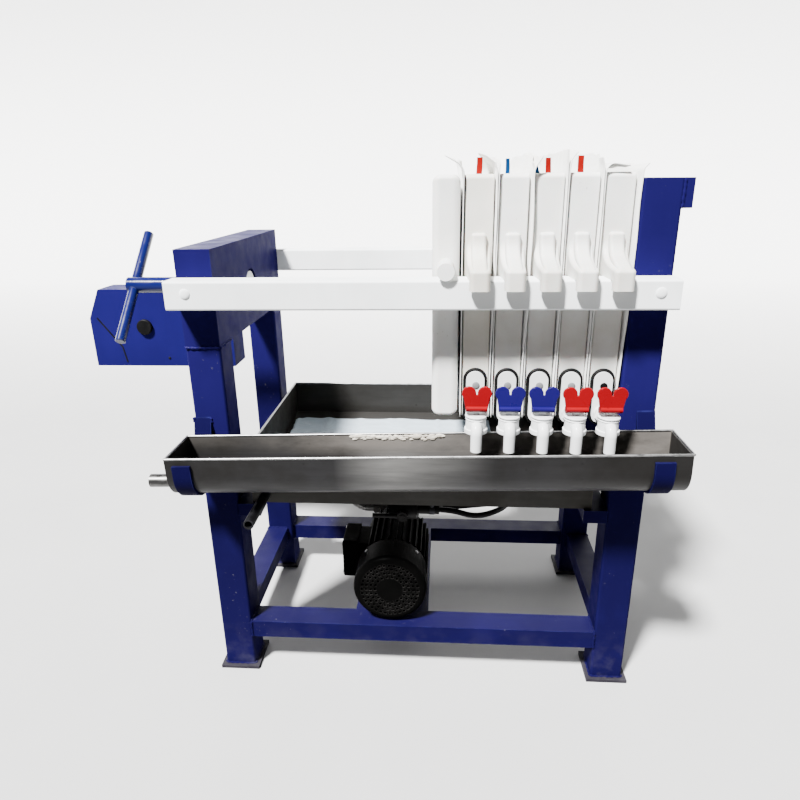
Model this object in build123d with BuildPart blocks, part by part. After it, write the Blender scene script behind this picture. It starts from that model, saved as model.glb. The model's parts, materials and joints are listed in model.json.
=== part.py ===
"""Small plate filter press for edible oil: frame, screw, filter plates with taps, tray, gutter and pump.

Millimetres, +Z up. X runs along the plate stack, the screw is at -X and the taps face -Y.
"""
import os
from math import cos, pi, radians, sin, tan

from build123d import *

os.makedirs("parts", exist_ok=True)

# Frame of square tube
tube = 50.0
tube_corner = 4.0
frame_width = 654.0
foot_side = 64.0
foot_thick = 6.0
beam_bottom = 62.0
beam_height = 30.0
beam_depth = 40.0
crosshead_drop = 61.0
crosshead_height = 135.0
post_rise = 155.0
head_drop = 166.0
head_thick = 30.0
tie_bar_thick = 12.0
tie_bar_height = 36.0

# Side rails that carry the plates
rail_gap = 8.5
rail_side = 38.0
rail_corner = 3.0
rail_drop = 1.0
rail_overhang = 3.0

# Filter plates and follower
plate_count = 5
plate_side = 325.0
plate_thick = 36.2
plate_gap = 7.3
head_gap = 6.2
plate_corner = 6.0
plate_edge = 2.0
press_axis_z = 616.0
plate_border = 30.0
recess_depth = 3.0
rib_count = 9
rib_width = 8.0
feed_hole = 40.0
arm_width = 19.0
arm_height = 54.0
arm_foot_root = 33.0
arm_foot_tip = 25.0
arm_foot_up = 46.0
arm_foot_toe = 13.0
arm_toe_slope = 0.2
arm_foot_round = 6.0
arm_shoulder = 8.0
arm_shoulder_round = 4.0
arm_ankle_out = 10.0
arm_ankle_up = 30.0
arm_sweep = 24.0
arm_toe_up = 14.0
arm_toe_round = 9.0
arm_edge = 4.0
arm_hook_gap = 5.0
arm_lip = 12.0
arm_lip_thick = 10.5
follower_thick = 36.0
follower_gap = 6.2
follower_top_round = 10.0
peg_diameter = 22.0
peg_overhang = 6.0

# Filter cloths
cloth_thick = 0.8
cloth_top_show = 27.0
cloth_side_show = 2.5
cloth_neck_wall = 1.5

# Taps
tap_flange_width = 25.0
tap_flange_height = 74.0
tap_flange_thick = 8.0
tap_flange_below = 5.0
tap_stem = 16.0
tap_barrel = 28.0
tap_barrel_height = 26.0
tap_barrel_taper = 2.0
tap_ring = 31.0
tap_ring_height = 7.0
tap_ring_edge = 1.5
tap_reach = 51.5
tap_drop = 2.5
spout_diameter = 15.0
spout_bore = 11.0
spout_forward = 18.0
spout_bend = 10.0
spout_length = 33.0
lever_ear = 18.8
lever_ear_spread = 10.3
lever_ear_root = 8.0
lever_ear_height = 24.0
lever_notch = 2.0
lever_thick = 3.0
lever_edge = 1.0
lever_width = 28.0
lever_skirt = 1.5
lever_lip = 6.8
lever_lip_rise = 3.0
lever_cheek = 8.8
lever_cheek_rise = 7.0
lever_post_width = 8.0
lever_post_depth = 6.0
lever_post_height = 11.0
lever_pivot_rise = 7.2
lever_stand_off = 5.6
lever_pin = 3.0
lever_slot_gap = 0.6

# Screw, nut and tee handle
screw_diameter = 26.0
screw_out = 155.0
tee_bar_diameter = 16.0
tee_bar_length = 216.0
tee_bar_inset = 10.0
tee_bar_angle = 45.0
nut_barrel = 52.0
nut_flange = 84.0
nut_flange_thick = 10.0
pad_diameter = 44.0
pad_thick = 12.0
pad_recess = 14.0
pad_spigot = 14.0
pad_spigot_length = 6.0

# Oil tray under the plates
tray_side_gap = 22.0
tray_front_inset = 6.0
tray_rear_inset = 22.0
tray_rim_z = 400.0
tray_front_depth = 90.0
tray_rear_depth = 60.0
sheet_thick = 2.0
bearer_height = 20.0
bearer_seat = 12.0
tray_drain_inset = 21.0
tray_drain_diameter = 15.0
tray_drain_bore = 11.0
tray_drain_length = 90.0
tray_drain_above_floor = 14.0

# Collecting gutter in front of the legs
gutter_width = 83.0
gutter_depth = 64.0
gutter_round = 38.0
gutter_left_over = 11.0
gutter_right_over = 22.0
gutter_gap = 9.0
gutter_rim_z = 434.0
gutter_fall = 1.5
hook_width = 25.0
hook_thick = 4.0
hook_rise = 26.0
hook_rim_drop = 9.0
outlet_diameter = 19.0
outlet_bore = 15.0
outlet_length = 44.0
outlet_above_floor = 13.0

# Motor and gear pump
motor_x = -48.0
motor_shaft_height = 63.0
motor_core = 104.0
fin_height = 7.0
fin_width = 2.6
fin_step = 12.0
fin_end_gap = 6.0
fin_root = 1.0
motor_setback = 62.0
motor_length = 120.0
fan_cover_diameter = 118.0
fan_cover_length = 54.0
fan_cover_round = 9.0
shield_lip = 6.0
grille_hole_out = 4.4
grille_hole_round = 4.8
grille_rings = ((24.0, 18), (31.0, 24), (38.0, 30), (45.0, 36))
motor_foot_width = 110.0
motor_foot_length = 70.0
motor_foot_thick = 9.0
motor_bar_width = 30.0
motor_bar_offset = 45.0
terminal_box_thick = 26.0
terminal_box_round = 5.0
terminal_box_edge = 3.0
box_seat_rise = 3.0
box_seat_inset = 5.0
terminal_box_height = 70.0
terminal_box_length = 66.0
bell_diameter = 80.0
bell_length = 40.0
bell_face = 13.0
pump_neck = 64.0
pump_gear_case = 68.0
pump_gear_pitch = 34.0
pump_length = 56.0
pump_port = 28.0
pump_port_length = 16.0

# Feed pipe from the pump to the fixed head
feed_pipe_diameter = 22.0
feed_pipe_bend = 34.0
feed_stub = 10.0
feed_run_drop = 52.0
feed_end_run = 30.0
feed_end_straight = 1.0
feed_boss = 48.0
feed_boss_length = 25.0

# Valve under the tray and its hose to the pump
valve_x = -26.0
valve_inset = 27.0
valve_body = 30.0
valve_length = 44.0
valve_neck = 20.0
valve_drop = 22.0
valve_stem = 8.0
valve_stem_length = 12.0
valve_lever_length = 46.0
valve_lever_diameter = 7.0
valve_boss_thick = 9.0
hose_tail_diameter = 14.0
hose_tail_length = 34.0
hose_diameter = 9.0

# Switch box beside the crosshead
box_gap = 32.0
box_width = 271.0
box_shoulder = 24.0
box_height = 146.0
box_tip_drop = 54.0
box_front_inset = 53.0
box_depth = 60.0
box_arm_height = 34.0
box_arm_depth = 40.0
knob_diameter = 29.0
knob_thick = 6.0
knob_inset = 105.0
knob_rise = 76.0

# Clearances
slide_gap = 0.3
cloth_gap = 0.3
shaft_gap = 0.08
seat_gap = 0.2

# Depth that a welded or cast-on boss starts inside its body
boss_root = 2.0

# Places worked out from the sizes
frame_depth = plate_side + 2 * rail_gap
leg_x = (frame_width - tube) / 2
leg_y = (frame_depth - tube) / 2
inner_x = frame_width / 2 - tube
inner_y = frame_depth / 2 - tube
front_face = -frame_depth / 2
head_face = inner_x
crosshead_bottom = press_axis_z - crosshead_drop
post_top = press_axis_z + post_rise
head_bottom = press_axis_z - head_drop
rail_bottom = press_axis_z - rail_drop
rail_top = rail_bottom + rail_side
rail_y = (frame_depth + rail_side) / 2
plate_half = plate_side / 2
plate_bottom = press_axis_z - plate_half
plate_pitch = plate_thick + plate_gap
last_plate_x = head_face - head_gap - plate_thick / 2
first_plate_x = last_plate_x - (plate_count - 1) * plate_pitch
arm_reach = rail_gap + rail_side + arm_hook_gap + arm_lip_thick
peg_reach = rail_gap + rail_side + peg_overhang
follower_x = first_plate_x - plate_thick / 2 - follower_gap - follower_thick / 2
motor_z = beam_bottom + beam_height + motor_shaft_height
motor_front = front_face + motor_setback
screw_end_x = -frame_width / 2 - screw_out
tee_bar_x = screw_end_x + tee_bar_inset
gutter_length = frame_width + gutter_left_over + gutter_right_over
gutter_mid_x = (gutter_right_over - gutter_left_over) / 2
gutter_back = front_face - gutter_gap
gutter_mid_y = gutter_back - gutter_width / 2
tray_width = 2 * (inner_x - tray_side_gap)
tray_front = front_face + tray_front_inset
tray_rear = -front_face - tray_rear_inset
tray_front_floor_z = tray_rim_z - tray_front_depth
tray_rear_floor_z = tray_rim_z - tray_rear_depth
tray_drain_x = -tray_width / 2 + tray_drain_inset
bearer_width = tray_side_gap + bearer_seat
tray_slope = (tray_rear_floor_z - tray_front_floor_z) / (tray_rear - tray_front)
feed_run_z = tray_front_floor_z - feed_run_drop
feed_end_x = head_face + head_thick + feed_boss_length
feed_riser_x = feed_end_x + feed_end_run
valve_y = tray_front + valve_inset
valve_axis_z = tray_front_floor_z - valve_drop
box_right = -frame_width / 2 - box_gap
box_left = box_right - box_width
box_top = crosshead_bottom + box_arm_height
box_bottom = box_top - box_height
box_tip_z = box_top - box_tip_drop
box_front = -front_face - box_front_inset
knob_x = box_left + knob_inset
knob_z = box_bottom + knob_rise

# The origin is under the middle of the whole machine
left_reach = box_left
right_reach = feed_riser_x + feed_pipe_diameter / 2
front_reach = gutter_back - gutter_width - hook_thick
rear_reach = plate_half + arm_reach
frame_x = -(left_reach + right_reach) / 2
frame_y = -(front_reach + rear_reach) / 2


def level(z):
    """Horizontal plane at a height, sketched in X and Y."""
    return Plane(origin=(frame_x, frame_y, z))


def across(x):
    """Plane square to the plate stack, sketched in Y and Z, with +X outwards."""
    return Plane(origin=(frame_x + x, frame_y, 0), x_dir=(0, 1, 0), z_dir=(1, 0, 0))


def facing(y):
    """Plane seen from the front, sketched in X and Z, with -Y outwards."""
    return Plane(origin=(frame_x, frame_y + y, 0), x_dir=(1, 0, 0), z_dir=(0, -1, 0))


def save(piece, name):
    """Label a finished piece and write it."""
    piece.part.label = name
    export_step(piece.part, f"parts/{name}.step")


def bar(x, y, z):
    """Rectangular bar between three (low, high) ranges."""
    with BuildPart() as piece:
        with BuildSketch(level(z[0])):
            with Locations(((x[0] + x[1]) / 2, (y[0] + y[1]) / 2)):
                Rectangle(x[1] - x[0], y[1] - y[0])
        extrude(amount=z[1] - z[0])
    return piece


def upright(x, y, top):
    """Square tube standing on its foot plate."""
    with BuildPart() as piece:
        with BuildSketch(level(foot_thick)):
            with Locations((x, y)):
                RectangleRounded(tube, tube, tube_corner)
        extrude(amount=top - foot_thick)
    return piece


def side_rail(y):
    """White rail along the stack, from the crosshead to the post."""
    with BuildPart() as piece:
        with BuildSketch(across(-frame_width / 2 - rail_overhang)):
            with Locations((y, rail_bottom + rail_side / 2)):
                RectangleRounded(rail_side, rail_side, rail_corner)
        extrude(amount=frame_width + rail_overhang)
    return piece


# Legs, posts and feet
save(upright(-leg_x, -leg_y, crosshead_bottom), "front_left_leg")
save(upright(-leg_x, leg_y, crosshead_bottom), "rear_left_leg")
save(upright(leg_x, -leg_y, post_top), "front_right_post")
save(upright(leg_x, leg_y, post_top), "rear_right_post")

with BuildPart() as foot_plates:
    with BuildSketch(level(0)):
        with GridLocations(2 * leg_x, 2 * leg_y, 2, 2):
            Rectangle(foot_side, foot_side)
    extrude(amount=foot_thick)
save(foot_plates, "foot_plates")

# Base beams between the legs
beam_z = (beam_bottom, beam_bottom + beam_height)
beam_front_y = (front_face, front_face + beam_depth)
beam_side_x = (-frame_width / 2, -frame_width / 2 + beam_depth)
save(bar((-inner_x, inner_x), beam_front_y, beam_z), "front_base_beam")
save(bar((-inner_x, inner_x), (-beam_front_y[1], -beam_front_y[0]), beam_z), "rear_base_beam")
save(bar(beam_side_x, (-inner_y, inner_y), beam_z), "left_base_beam")
save(bar((-beam_side_x[1], -beam_side_x[0]), (-inner_y, inner_y), beam_z), "right_base_beam")

# Crosshead beam over the left legs, bored for the nut
with BuildPart() as screw_crosshead:
    with BuildSketch(across(-frame_width / 2)):
        with Locations((0, crosshead_bottom + crosshead_height / 2)):
            Rectangle(frame_depth, crosshead_height)
        with Locations((0, press_axis_z)):
            Circle(nut_barrel / 2 + seat_gap, mode=Mode.SUBTRACT)
    extrude(amount=tube)
save(screw_crosshead, "screw_crosshead")

# Flanged nut let into the crosshead from the left
with BuildPart() as screw_nut:
    with BuildSketch(across(-frame_width / 2 - nut_flange_thick)):
        with Locations((0, press_axis_z)):
            Circle(nut_flange / 2)
    extrude(amount=nut_flange_thick)
    with BuildSketch(across(-frame_width / 2)):
        with Locations((0, press_axis_z)):
            Circle(nut_barrel / 2)
    extrude(amount=tube - pad_recess)
    with BuildSketch(across(-frame_width / 2 - nut_flange_thick)):
        with Locations((0, press_axis_z)):
            Circle(screw_diameter / 2 + shaft_gap)
    extrude(amount=tube + nut_flange_thick, mode=Mode.SUBTRACT)
save(screw_nut, "screw_nut")

# Fixed head between the right posts, with the feed inlet boss behind it
with BuildPart() as fixed_head:
    with BuildSketch(across(head_face)):
        with Locations((0, (head_bottom + post_top) / 2)):
            Rectangle(2 * inner_y, post_top - head_bottom)
    extrude(amount=head_thick)
    with BuildSketch(across(head_face + head_thick)):
        with Locations((0, press_axis_z)):
            Circle(feed_boss / 2)
    extrude(amount=feed_boss_length)
    with BuildSketch(across(head_face)):
        with Locations((0, press_axis_z)):
            Circle(feed_pipe_diameter / 2)
    extrude(amount=head_thick + feed_boss_length / 2, mode=Mode.SUBTRACT)
save(fixed_head, "fixed_head")

tie_x = (frame_width / 2, frame_width / 2 + tie_bar_thick)
tie_z = (post_top - tie_bar_height, post_top)
save(bar(tie_x, (front_face, -front_face), tie_z), "head_tie_bar")

save(side_rail(-rail_y), "front_side_rail")
save(side_rail(rail_y), "rear_side_rail")

# Pressure pad on the screw's tip, sunk in the crosshead when the screw is drawn back
pad_x = -inner_x - pad_recess + seat_gap
with BuildPart() as pressure_pad:
    with BuildSketch(across(pad_x)):
        with Locations((0, press_axis_z)):
            Circle(pad_diameter / 2)
    extrude(amount=pad_thick)
    with BuildSketch(across(pad_x)):
        with Locations((0, press_axis_z)):
            Circle(pad_spigot / 2 + shaft_gap)
    extrude(amount=pad_spigot_length + seat_gap, mode=Mode.SUBTRACT)
save(pressure_pad, "pressure_pad")

# Screw spindle with a cross hole for the tee bar
tee_bar_plane = Plane(
    origin=(frame_x + tee_bar_x, frame_y, press_axis_z),
    x_dir=(1, 0, 0),
    z_dir=(0, sin(radians(tee_bar_angle)), cos(radians(tee_bar_angle))),
)
with BuildPart() as screw_spindle:
    with BuildSketch(across(screw_end_x)):
        with Locations((0, press_axis_z)):
            Circle(screw_diameter / 2)
    extrude(amount=pad_x - seat_gap - screw_end_x)
    with BuildSketch(across(pad_x - seat_gap)):
        with Locations((0, press_axis_z)):
            Circle(pad_spigot / 2)
    extrude(amount=pad_spigot_length)
    with BuildSketch(tee_bar_plane):
        Circle(tee_bar_diameter / 2 + shaft_gap)
    extrude(amount=screw_diameter, both=True, mode=Mode.SUBTRACT)
save(screw_spindle, "screw_spindle")

with BuildPart() as tee_handle:
    with BuildSketch(tee_bar_plane):
        Circle(tee_bar_diameter / 2)
    extrude(amount=tee_bar_length / 2, both=True)
    chamfer(tee_handle.edges().filter_by(GeomType.CIRCLE), tee_bar_diameter / 12)
save(tee_handle, "tee_handle")


def arm_profile(side):
    """Boot-shaped arm: a rib at the plate's edge that sweeps out over the rail and hooks down outside it."""
    root = side * (plate_half - plate_corner)
    shoulder = side * (plate_half + arm_shoulder)
    ankle = side * (plate_half + arm_ankle_out)
    tip = side * (plate_half + arm_reach)
    lip = side * (plate_half + arm_reach - arm_lip_thick)
    seat = rail_top + slide_gap
    top = rail_top + arm_height
    with BuildSketch(Plane.XY) as profile:
        with BuildLine():
            Polyline(
                (root, top),
                (shoulder, top),
                (ankle, seat + arm_ankle_up),
                (tip, seat + arm_toe_up),
                (tip, seat - arm_lip),
                (lip, seat - arm_lip),
                (lip, seat),
                (root, seat),
                close=True,
            )
        make_face()
        fillet(profile.vertices().group_by(Axis.Y)[0], arm_lip_thick / 3)
        fillet(profile.vertices().group_by(Axis.Y)[-1].sort_by(lambda v: abs(v.X))[-1], arm_shoulder_round)
        fillet([v for v in profile.vertices() if abs(v.Y - seat - arm_toe_up) < arm_edge], arm_toe_round)
        fillet([v for v in profile.vertices() if abs(v.Y - seat - arm_ankle_up) < arm_edge], arm_sweep)
    return profile.sketch


def plate_arm(x, side):
    """One arm of a plate, with its outer edges rounded."""
    with BuildPart() as piece:
        with BuildSketch(across(x - arm_width / 2)):
            add(arm_profile(side))
        extrude(amount=arm_width)
        rims = piece.faces().filter_by(Axis.X).edges()
        upper = [e for e in rims if e.center().Z > rail_top + arm_edge]
        fillet([e for e in upper if side * (e.center().Y - frame_y) > plate_half], arm_edge)
    return piece.part


def arm_foot(x, side):
    """Flared foot of an arm: nearly plate-wide at its root, hollow above and hooked outside the rail."""
    seat = rail_top + slide_gap
    root = side * (plate_half - plate_corner)
    edge = side * plate_half
    tip = side * (plate_half + arm_reach)
    lip = side * (plate_half + arm_reach - arm_lip_thick)
    beyond = tip + side * arm_edge
    with BuildPart() as piece:
        with BuildSketch(level(seat - arm_lip)) as plan:
            with BuildLine():
                Polyline(
                    (x - arm_foot_root / 2, root),
                    (x - arm_foot_tip / 2, tip),
                    (x + arm_foot_tip / 2, tip),
                    (x + arm_foot_root / 2, root),
                    close=True,
                )
            make_face()
            fillet([v for v in plan.vertices() if abs(v.Y - tip) < 1], arm_foot_round)
        extrude(amount=arm_lip + arm_foot_up)
        with BuildSketch(across(x - arm_foot_root)):
            with BuildLine():
                Polyline((root, seat), (lip, seat), (lip, seat - arm_lip), (root, seat - arm_lip), close=True)
            make_face()
        extrude(amount=2 * arm_foot_root, mode=Mode.SUBTRACT)
        with BuildSketch(across(x - arm_foot_root)):
            with BuildLine():
                heel = (edge, seat + arm_foot_up)
                toe = (tip, seat + arm_foot_toe)
                Spline(heel, toe, tangents=((0, -1), (side, -arm_toe_slope)))
                Polyline(
                    toe,
                    (beyond, seat + arm_foot_toe),
                    (beyond, seat + 2 * arm_foot_up),
                    (edge, seat + 2 * arm_foot_up),
                    heel,
                )
            make_face()
        extrude(amount=2 * arm_foot_root, mode=Mode.SUBTRACT)
        hollow = piece.faces().filter_by(GeomType.BSPLINE) + piece.faces().filter_by(GeomType.EXTRUSION)
        outer = frame_y + edge
        fillet([e for e in hollow.edges() if side * (e.center().Y - outer) > 1], arm_edge)
    return piece.part


def filter_plate(x):
    """Recessed plate with ribbed faces, a feed hole and an arm at each side."""
    rib_span = plate_side - 2 * plate_border
    with BuildPart() as piece:
        with BuildSketch(across(x - plate_thick / 2)):
            with Locations((0, press_axis_z)):
                RectangleRounded(plate_side, plate_side, plate_corner)
        extrude(amount=plate_thick)
        fillet(piece.faces().filter_by(Axis.X).edges(), plate_edge)
        for face in (-1, 1):
            with BuildSketch(across(x + face * plate_thick / 2)):
                with Locations((0, press_axis_z)):
                    RectangleRounded(rib_span, rib_span, plate_corner)
                    with GridLocations(rib_span / rib_count, 0, rib_count, 1):
                        Rectangle(rib_width, rib_span - 2 * rib_width, mode=Mode.SUBTRACT)
            extrude(amount=-face * recess_depth, mode=Mode.SUBTRACT)
        for side in (-1, 1):
            add(plate_arm(x, side))
            add(arm_foot(x, side))
        with BuildSketch(across(x - plate_thick / 2)):
            with Locations((0, press_axis_z)):
                Circle(feed_hole / 2)
        extrude(amount=plate_thick, mode=Mode.SUBTRACT)
    return piece


def filter_cloth(x):
    """Pair of cloths, one on each face, joined by a neck through the feed hole."""
    height = plate_side + cloth_top_show
    neck = feed_hole / 2 - cloth_gap
    near = plate_thick / 2 + cloth_gap
    far = near + cloth_thick
    with BuildPart() as piece:
        for start in (x - far, x + near):
            with BuildSketch(across(start)):
                with Locations((0, plate_bottom + height / 2)):
                    Rectangle(plate_side + 2 * cloth_side_show, height)
            extrude(amount=cloth_thick)
        with BuildSketch(across(x - near)):
            with Locations((0, press_axis_z)):
                Circle(neck)
        extrude(amount=2 * near)
        with BuildSketch(across(x - far)):
            with Locations((0, press_axis_z)):
                Circle(neck - cloth_neck_wall)
        extrude(amount=2 * far, mode=Mode.SUBTRACT)
    return piece


# Heights and reach of a tap
barrel_bottom = plate_bottom - tap_drop
barrel_top = barrel_bottom + tap_barrel_height
barrel_y = -plate_half - tap_reach
stem_z = barrel_bottom + tap_barrel_height / 2
pivot_z = barrel_top + lever_pivot_rise
flange_z = plate_bottom - tap_flange_below + tap_flange_height / 2


def tap(x):
    """Tap body: capsule flange, stem, upright barrel, bent spout and the lever's post."""
    with BuildPart() as piece:
        with BuildSketch(level(barrel_bottom)):
            with Locations((x, barrel_y)):
                Circle(tap_ring / 2)
        extrude(amount=tap_ring_height)
        fillet(piece.edges(), tap_ring_edge)
        with BuildSketch(level(barrel_bottom)):
            with Locations((x, barrel_y)):
                Circle(tap_barrel / 2)
        extrude(amount=tap_barrel_height, taper=tap_barrel_taper)
        with BuildSketch(facing(-plate_half)):
            with Locations((x, flange_z)):
                SlotOverall(tap_flange_height, tap_flange_width, rotation=90)
        extrude(amount=tap_flange_thick)
        with BuildSketch(facing(-plate_half - tap_flange_thick / 2)):
            with Locations((x, stem_z)):
                Circle(tap_stem / 2)
        extrude(amount=tap_reach - tap_flange_thick / 2)
        with BuildLine() as spout_path:
            FilletPolyline(
                (frame_x + x, frame_y + barrel_y, stem_z),
                (frame_x + x, frame_y + barrel_y - spout_forward, stem_z),
                (frame_x + x, frame_y + barrel_y - spout_forward, stem_z - spout_length),
                radius=spout_bend,
            )
        with BuildSketch(facing(barrel_y)):
            with Locations((x, stem_z)):
                Circle(spout_diameter / 2)
        sweep(path=spout_path.wires()[0])
        with BuildSketch(level(stem_z - spout_length)):
            with Locations((x, barrel_y - spout_forward)):
                Circle(spout_bore / 2)
        extrude(amount=spout_length - spout_bend - spout_diameter / 2, mode=Mode.SUBTRACT)
        with BuildSketch(level(barrel_top)):
            with Locations((x, barrel_y)):
                Rectangle(lever_post_width, lever_post_depth)
        extrude(amount=lever_post_height)
        with BuildSketch(across(x - tap_barrel / 2)):
            with Locations((barrel_y, pivot_z)):
                Circle(lever_pin / 2 + shaft_gap)
        extrude(amount=tap_barrel, mode=Mode.SUBTRACT)
    return piece


def tap_lever(x):
    """Two-eared tap lever in front of the post, on two cheeks that turn with their pin in the post."""
    ear_z = pivot_z + lever_ear_height
    plate_back = barrel_y - lever_stand_off
    plate_front = plate_back - lever_thick
    skirt_z = pivot_z - lever_skirt
    with BuildPart() as piece:
        with BuildSketch(facing(plate_back)):
            with BuildLine():
                Polyline(
                    (x - lever_width / 2, skirt_z),
                    (x + lever_width / 2, skirt_z),
                    (x + lever_ear_spread + lever_ear_root, ear_z),
                    (x, ear_z - lever_notch),
                    (x - lever_ear_spread - lever_ear_root, ear_z),
                    close=True,
                )
            make_face()
            with Locations((x - lever_ear_spread, ear_z), (x + lever_ear_spread, ear_z)):
                Circle(lever_ear / 2)
        extrude(amount=lever_thick)
        fillet(piece.faces().sort_by(Axis.Y)[0].edges(), lever_edge)
        with BuildSketch(across(x - lever_width / 2)):
            with Locations((barrel_y, pivot_z)):
                Circle(lever_cheek / 2)
            with BuildLine():
                Polyline(
                    (barrel_y, pivot_z - lever_skirt),
                    (barrel_y, pivot_z + lever_cheek / 2),
                    (plate_back, pivot_z + lever_cheek_rise),
                    (plate_back - lever_thick / 2, pivot_z + lever_cheek_rise),
                    (plate_back - lever_thick / 2, skirt_z),
                    close=True,
                )
            make_face()
            with Locations((plate_front, pivot_z + lever_lip_rise)):
                Circle(lever_lip / 2)
        extrude(amount=lever_width)
        with BuildSketch(level(pivot_z - lever_cheek)):
            with Locations((x, (plate_back + barrel_y + lever_cheek) / 2)):
                Rectangle(lever_post_width + 2 * lever_slot_gap, lever_stand_off + lever_cheek)
        extrude(amount=lever_cheek + lever_ear_height, mode=Mode.SUBTRACT)
        with BuildSketch(across(x - lever_width / 2)):
            with Locations((barrel_y, pivot_z)):
                Circle(lever_pin / 2)
        extrude(amount=lever_width)
    return piece


for number in range(plate_count):
    plate_x = first_plate_x + number * plate_pitch
    save(filter_plate(plate_x), f"filter_plate_{number + 1}")
    save(filter_cloth(plate_x), f"filter_cloth_{number + 1}")
    save(tap(plate_x), f"tap_{number + 1}")
    save(tap_lever(plate_x), f"tap_lever_{number + 1}")

# Follower plate on two round pegs
with BuildPart() as follower_plate:
    with BuildSketch(across(follower_x - follower_thick / 2)):
        with Locations((0, press_axis_z)):
            RectangleRounded(plate_side, plate_side, plate_corner)
    extrude(amount=follower_thick)
    fillet(follower_plate.edges().filter_by(Axis.Y).group_by(Axis.Z)[-1], follower_top_round)
    with BuildSketch(facing(plate_half + peg_reach)):
        with Locations((follower_x, rail_top + slide_gap + peg_diameter / 2)):
            Circle(peg_diameter / 2)
    extrude(amount=plate_side + 2 * peg_reach)
save(follower_plate, "follower_plate")

# Oil tray of folded sheet with a sloping floor, bored for its drain and its valve
with BuildPart() as drip_tray:
    with BuildSketch(across(-tray_width / 2)):
        with BuildLine():
            Polyline(
                (tray_front, tray_rim_z),
                (tray_front, tray_front_floor_z),
                (tray_rear, tray_rear_floor_z),
                (tray_rear, tray_rim_z),
                close=True,
            )
        make_face()
    extrude(amount=tray_width)
    offset(amount=-sheet_thick, openings=drip_tray.faces().sort_by(Axis.Z)[-1])
    with BuildSketch(facing(tray_front + 2 * sheet_thick)):
        with Locations((tray_drain_x, tray_front_floor_z + tray_drain_above_floor)):
            Circle(tray_drain_bore / 2)
    extrude(amount=3 * sheet_thick, mode=Mode.SUBTRACT)
save(drip_tray, "drip_tray")


def tray_floor_z(y):
    """Height of the tray's underside."""
    return tray_front_floor_z + (y - tray_front) * tray_slope


# Sloping bearers welded between the legs under the tray's sides
with BuildPart() as tray_bearers:
    for start in (-inner_x, inner_x - bearer_width):
        with BuildSketch(across(start)):
            with BuildLine():
                Polyline(
                    (front_face, tray_floor_z(front_face)),
                    (-front_face, tray_floor_z(-front_face)),
                    (-front_face, tray_floor_z(-front_face) - bearer_height),
                    (front_face, tray_floor_z(front_face) - bearer_height),
                    close=True,
                )
            make_face()
        extrude(amount=bearer_width)
save(tray_bearers, "tray_bearers")

with BuildPart() as tray_drain_pipe:
    with BuildSketch(facing(tray_front)):
        with Locations((tray_drain_x, tray_front_floor_z + tray_drain_above_floor)):
            Circle(tray_drain_diameter / 2)
            Circle(tray_drain_bore / 2, mode=Mode.SUBTRACT)
    extrude(amount=tray_drain_length)
save(tray_drain_pipe, "tray_drain_pipe")

# The gutter falls towards its outlet, so it and its hooks are drawn along a tilted line
fall = radians(gutter_fall)


def along_gutter(distance):
    """Plane square to the gutter, at a distance from its middle, drawn in Y and up from the rim."""
    return Plane(
        origin=(
            frame_x + gutter_mid_x + distance * cos(fall),
            frame_y + gutter_mid_y,
            gutter_rim_z + distance * sin(fall),
        ),
        x_dir=(0, 1, 0),
        z_dir=(cos(fall), 0, sin(fall)),
    )


def trough(inset):
    """Round-bottomed section of the gutter, inset from its outside."""
    half = gutter_width / 2 - inset
    floor = gutter_depth - inset
    radius = gutter_round - inset
    with BuildSketch(Plane.XY) as section:
        with Locations((0, -floor / 2)):
            Rectangle(2 * half, floor)
        fillet(section.vertices().group_by(Axis.Y)[0], radius)
    return section.sketch


with BuildPart() as collecting_gutter:
    with BuildSketch(along_gutter(-gutter_length / 2)):
        add(trough(0))
    extrude(amount=gutter_length)
    with BuildSketch(along_gutter(-gutter_length / 2 + sheet_thick)):
        add(trough(sheet_thick))
    extrude(amount=gutter_length - 2 * sheet_thick, mode=Mode.SUBTRACT)
    with BuildSketch(along_gutter(-gutter_length / 2 - sheet_thick)):
        with Locations((0, outlet_above_floor - gutter_depth)):
            Circle(outlet_bore / 2)
    extrude(amount=3 * sheet_thick, mode=Mode.SUBTRACT)
save(collecting_gutter, "collecting_gutter")

with BuildPart() as gutter_outlet_pipe:
    with BuildSketch(along_gutter(-gutter_length / 2 - outlet_length)):
        with Locations((0, outlet_above_floor - gutter_depth)):
            Circle(outlet_diameter / 2)
            Circle(outlet_bore / 2, mode=Mode.SUBTRACT)
    extrude(amount=outlet_length)
save(gutter_outlet_pipe, "gutter_outlet_pipe")


def hook_section():
    """Strap that leaves the leg, drops behind the gutter, passes under it and turns up in front."""
    half = gutter_width / 2
    leg = half + gutter_gap
    with BuildSketch(Plane.XY) as section:
        add(trough(-hook_thick))
        add(trough(0), mode=Mode.SUBTRACT)
        with Locations((-half - hook_thick, 0)):
            Rectangle(4 * hook_thick, 2 * hook_rim_drop, mode=Mode.SUBTRACT)
        with BuildLine():
            Polyline(
                (half, 0),
                (leg, hook_rise),
                (leg, hook_rise - 2 * hook_thick),
                (half + hook_thick, -hook_thick),
                (half, -hook_thick),
                close=True,
            )
        make_face()
    return section.sketch


with BuildPart() as gutter_hooks:
    for start in (-frame_width / 2, frame_width / 2 - hook_width):
        with BuildSketch(along_gutter(start - gutter_mid_x)):
            add(hook_section())
        extrude(amount=hook_width)
save(gutter_hooks, "gutter_hooks")

# Bars between the base beams that carry the motor
with BuildPart() as motor_bars:
    with BuildSketch(level(beam_bottom)):
        with Locations((motor_x, 0)):
            with GridLocations(2 * motor_bar_offset, 0, 2, 1):
                Rectangle(motor_bar_width, frame_depth - 2 * beam_depth)
    extrude(amount=beam_height)
save(motor_bars, "motor_bars")


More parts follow.
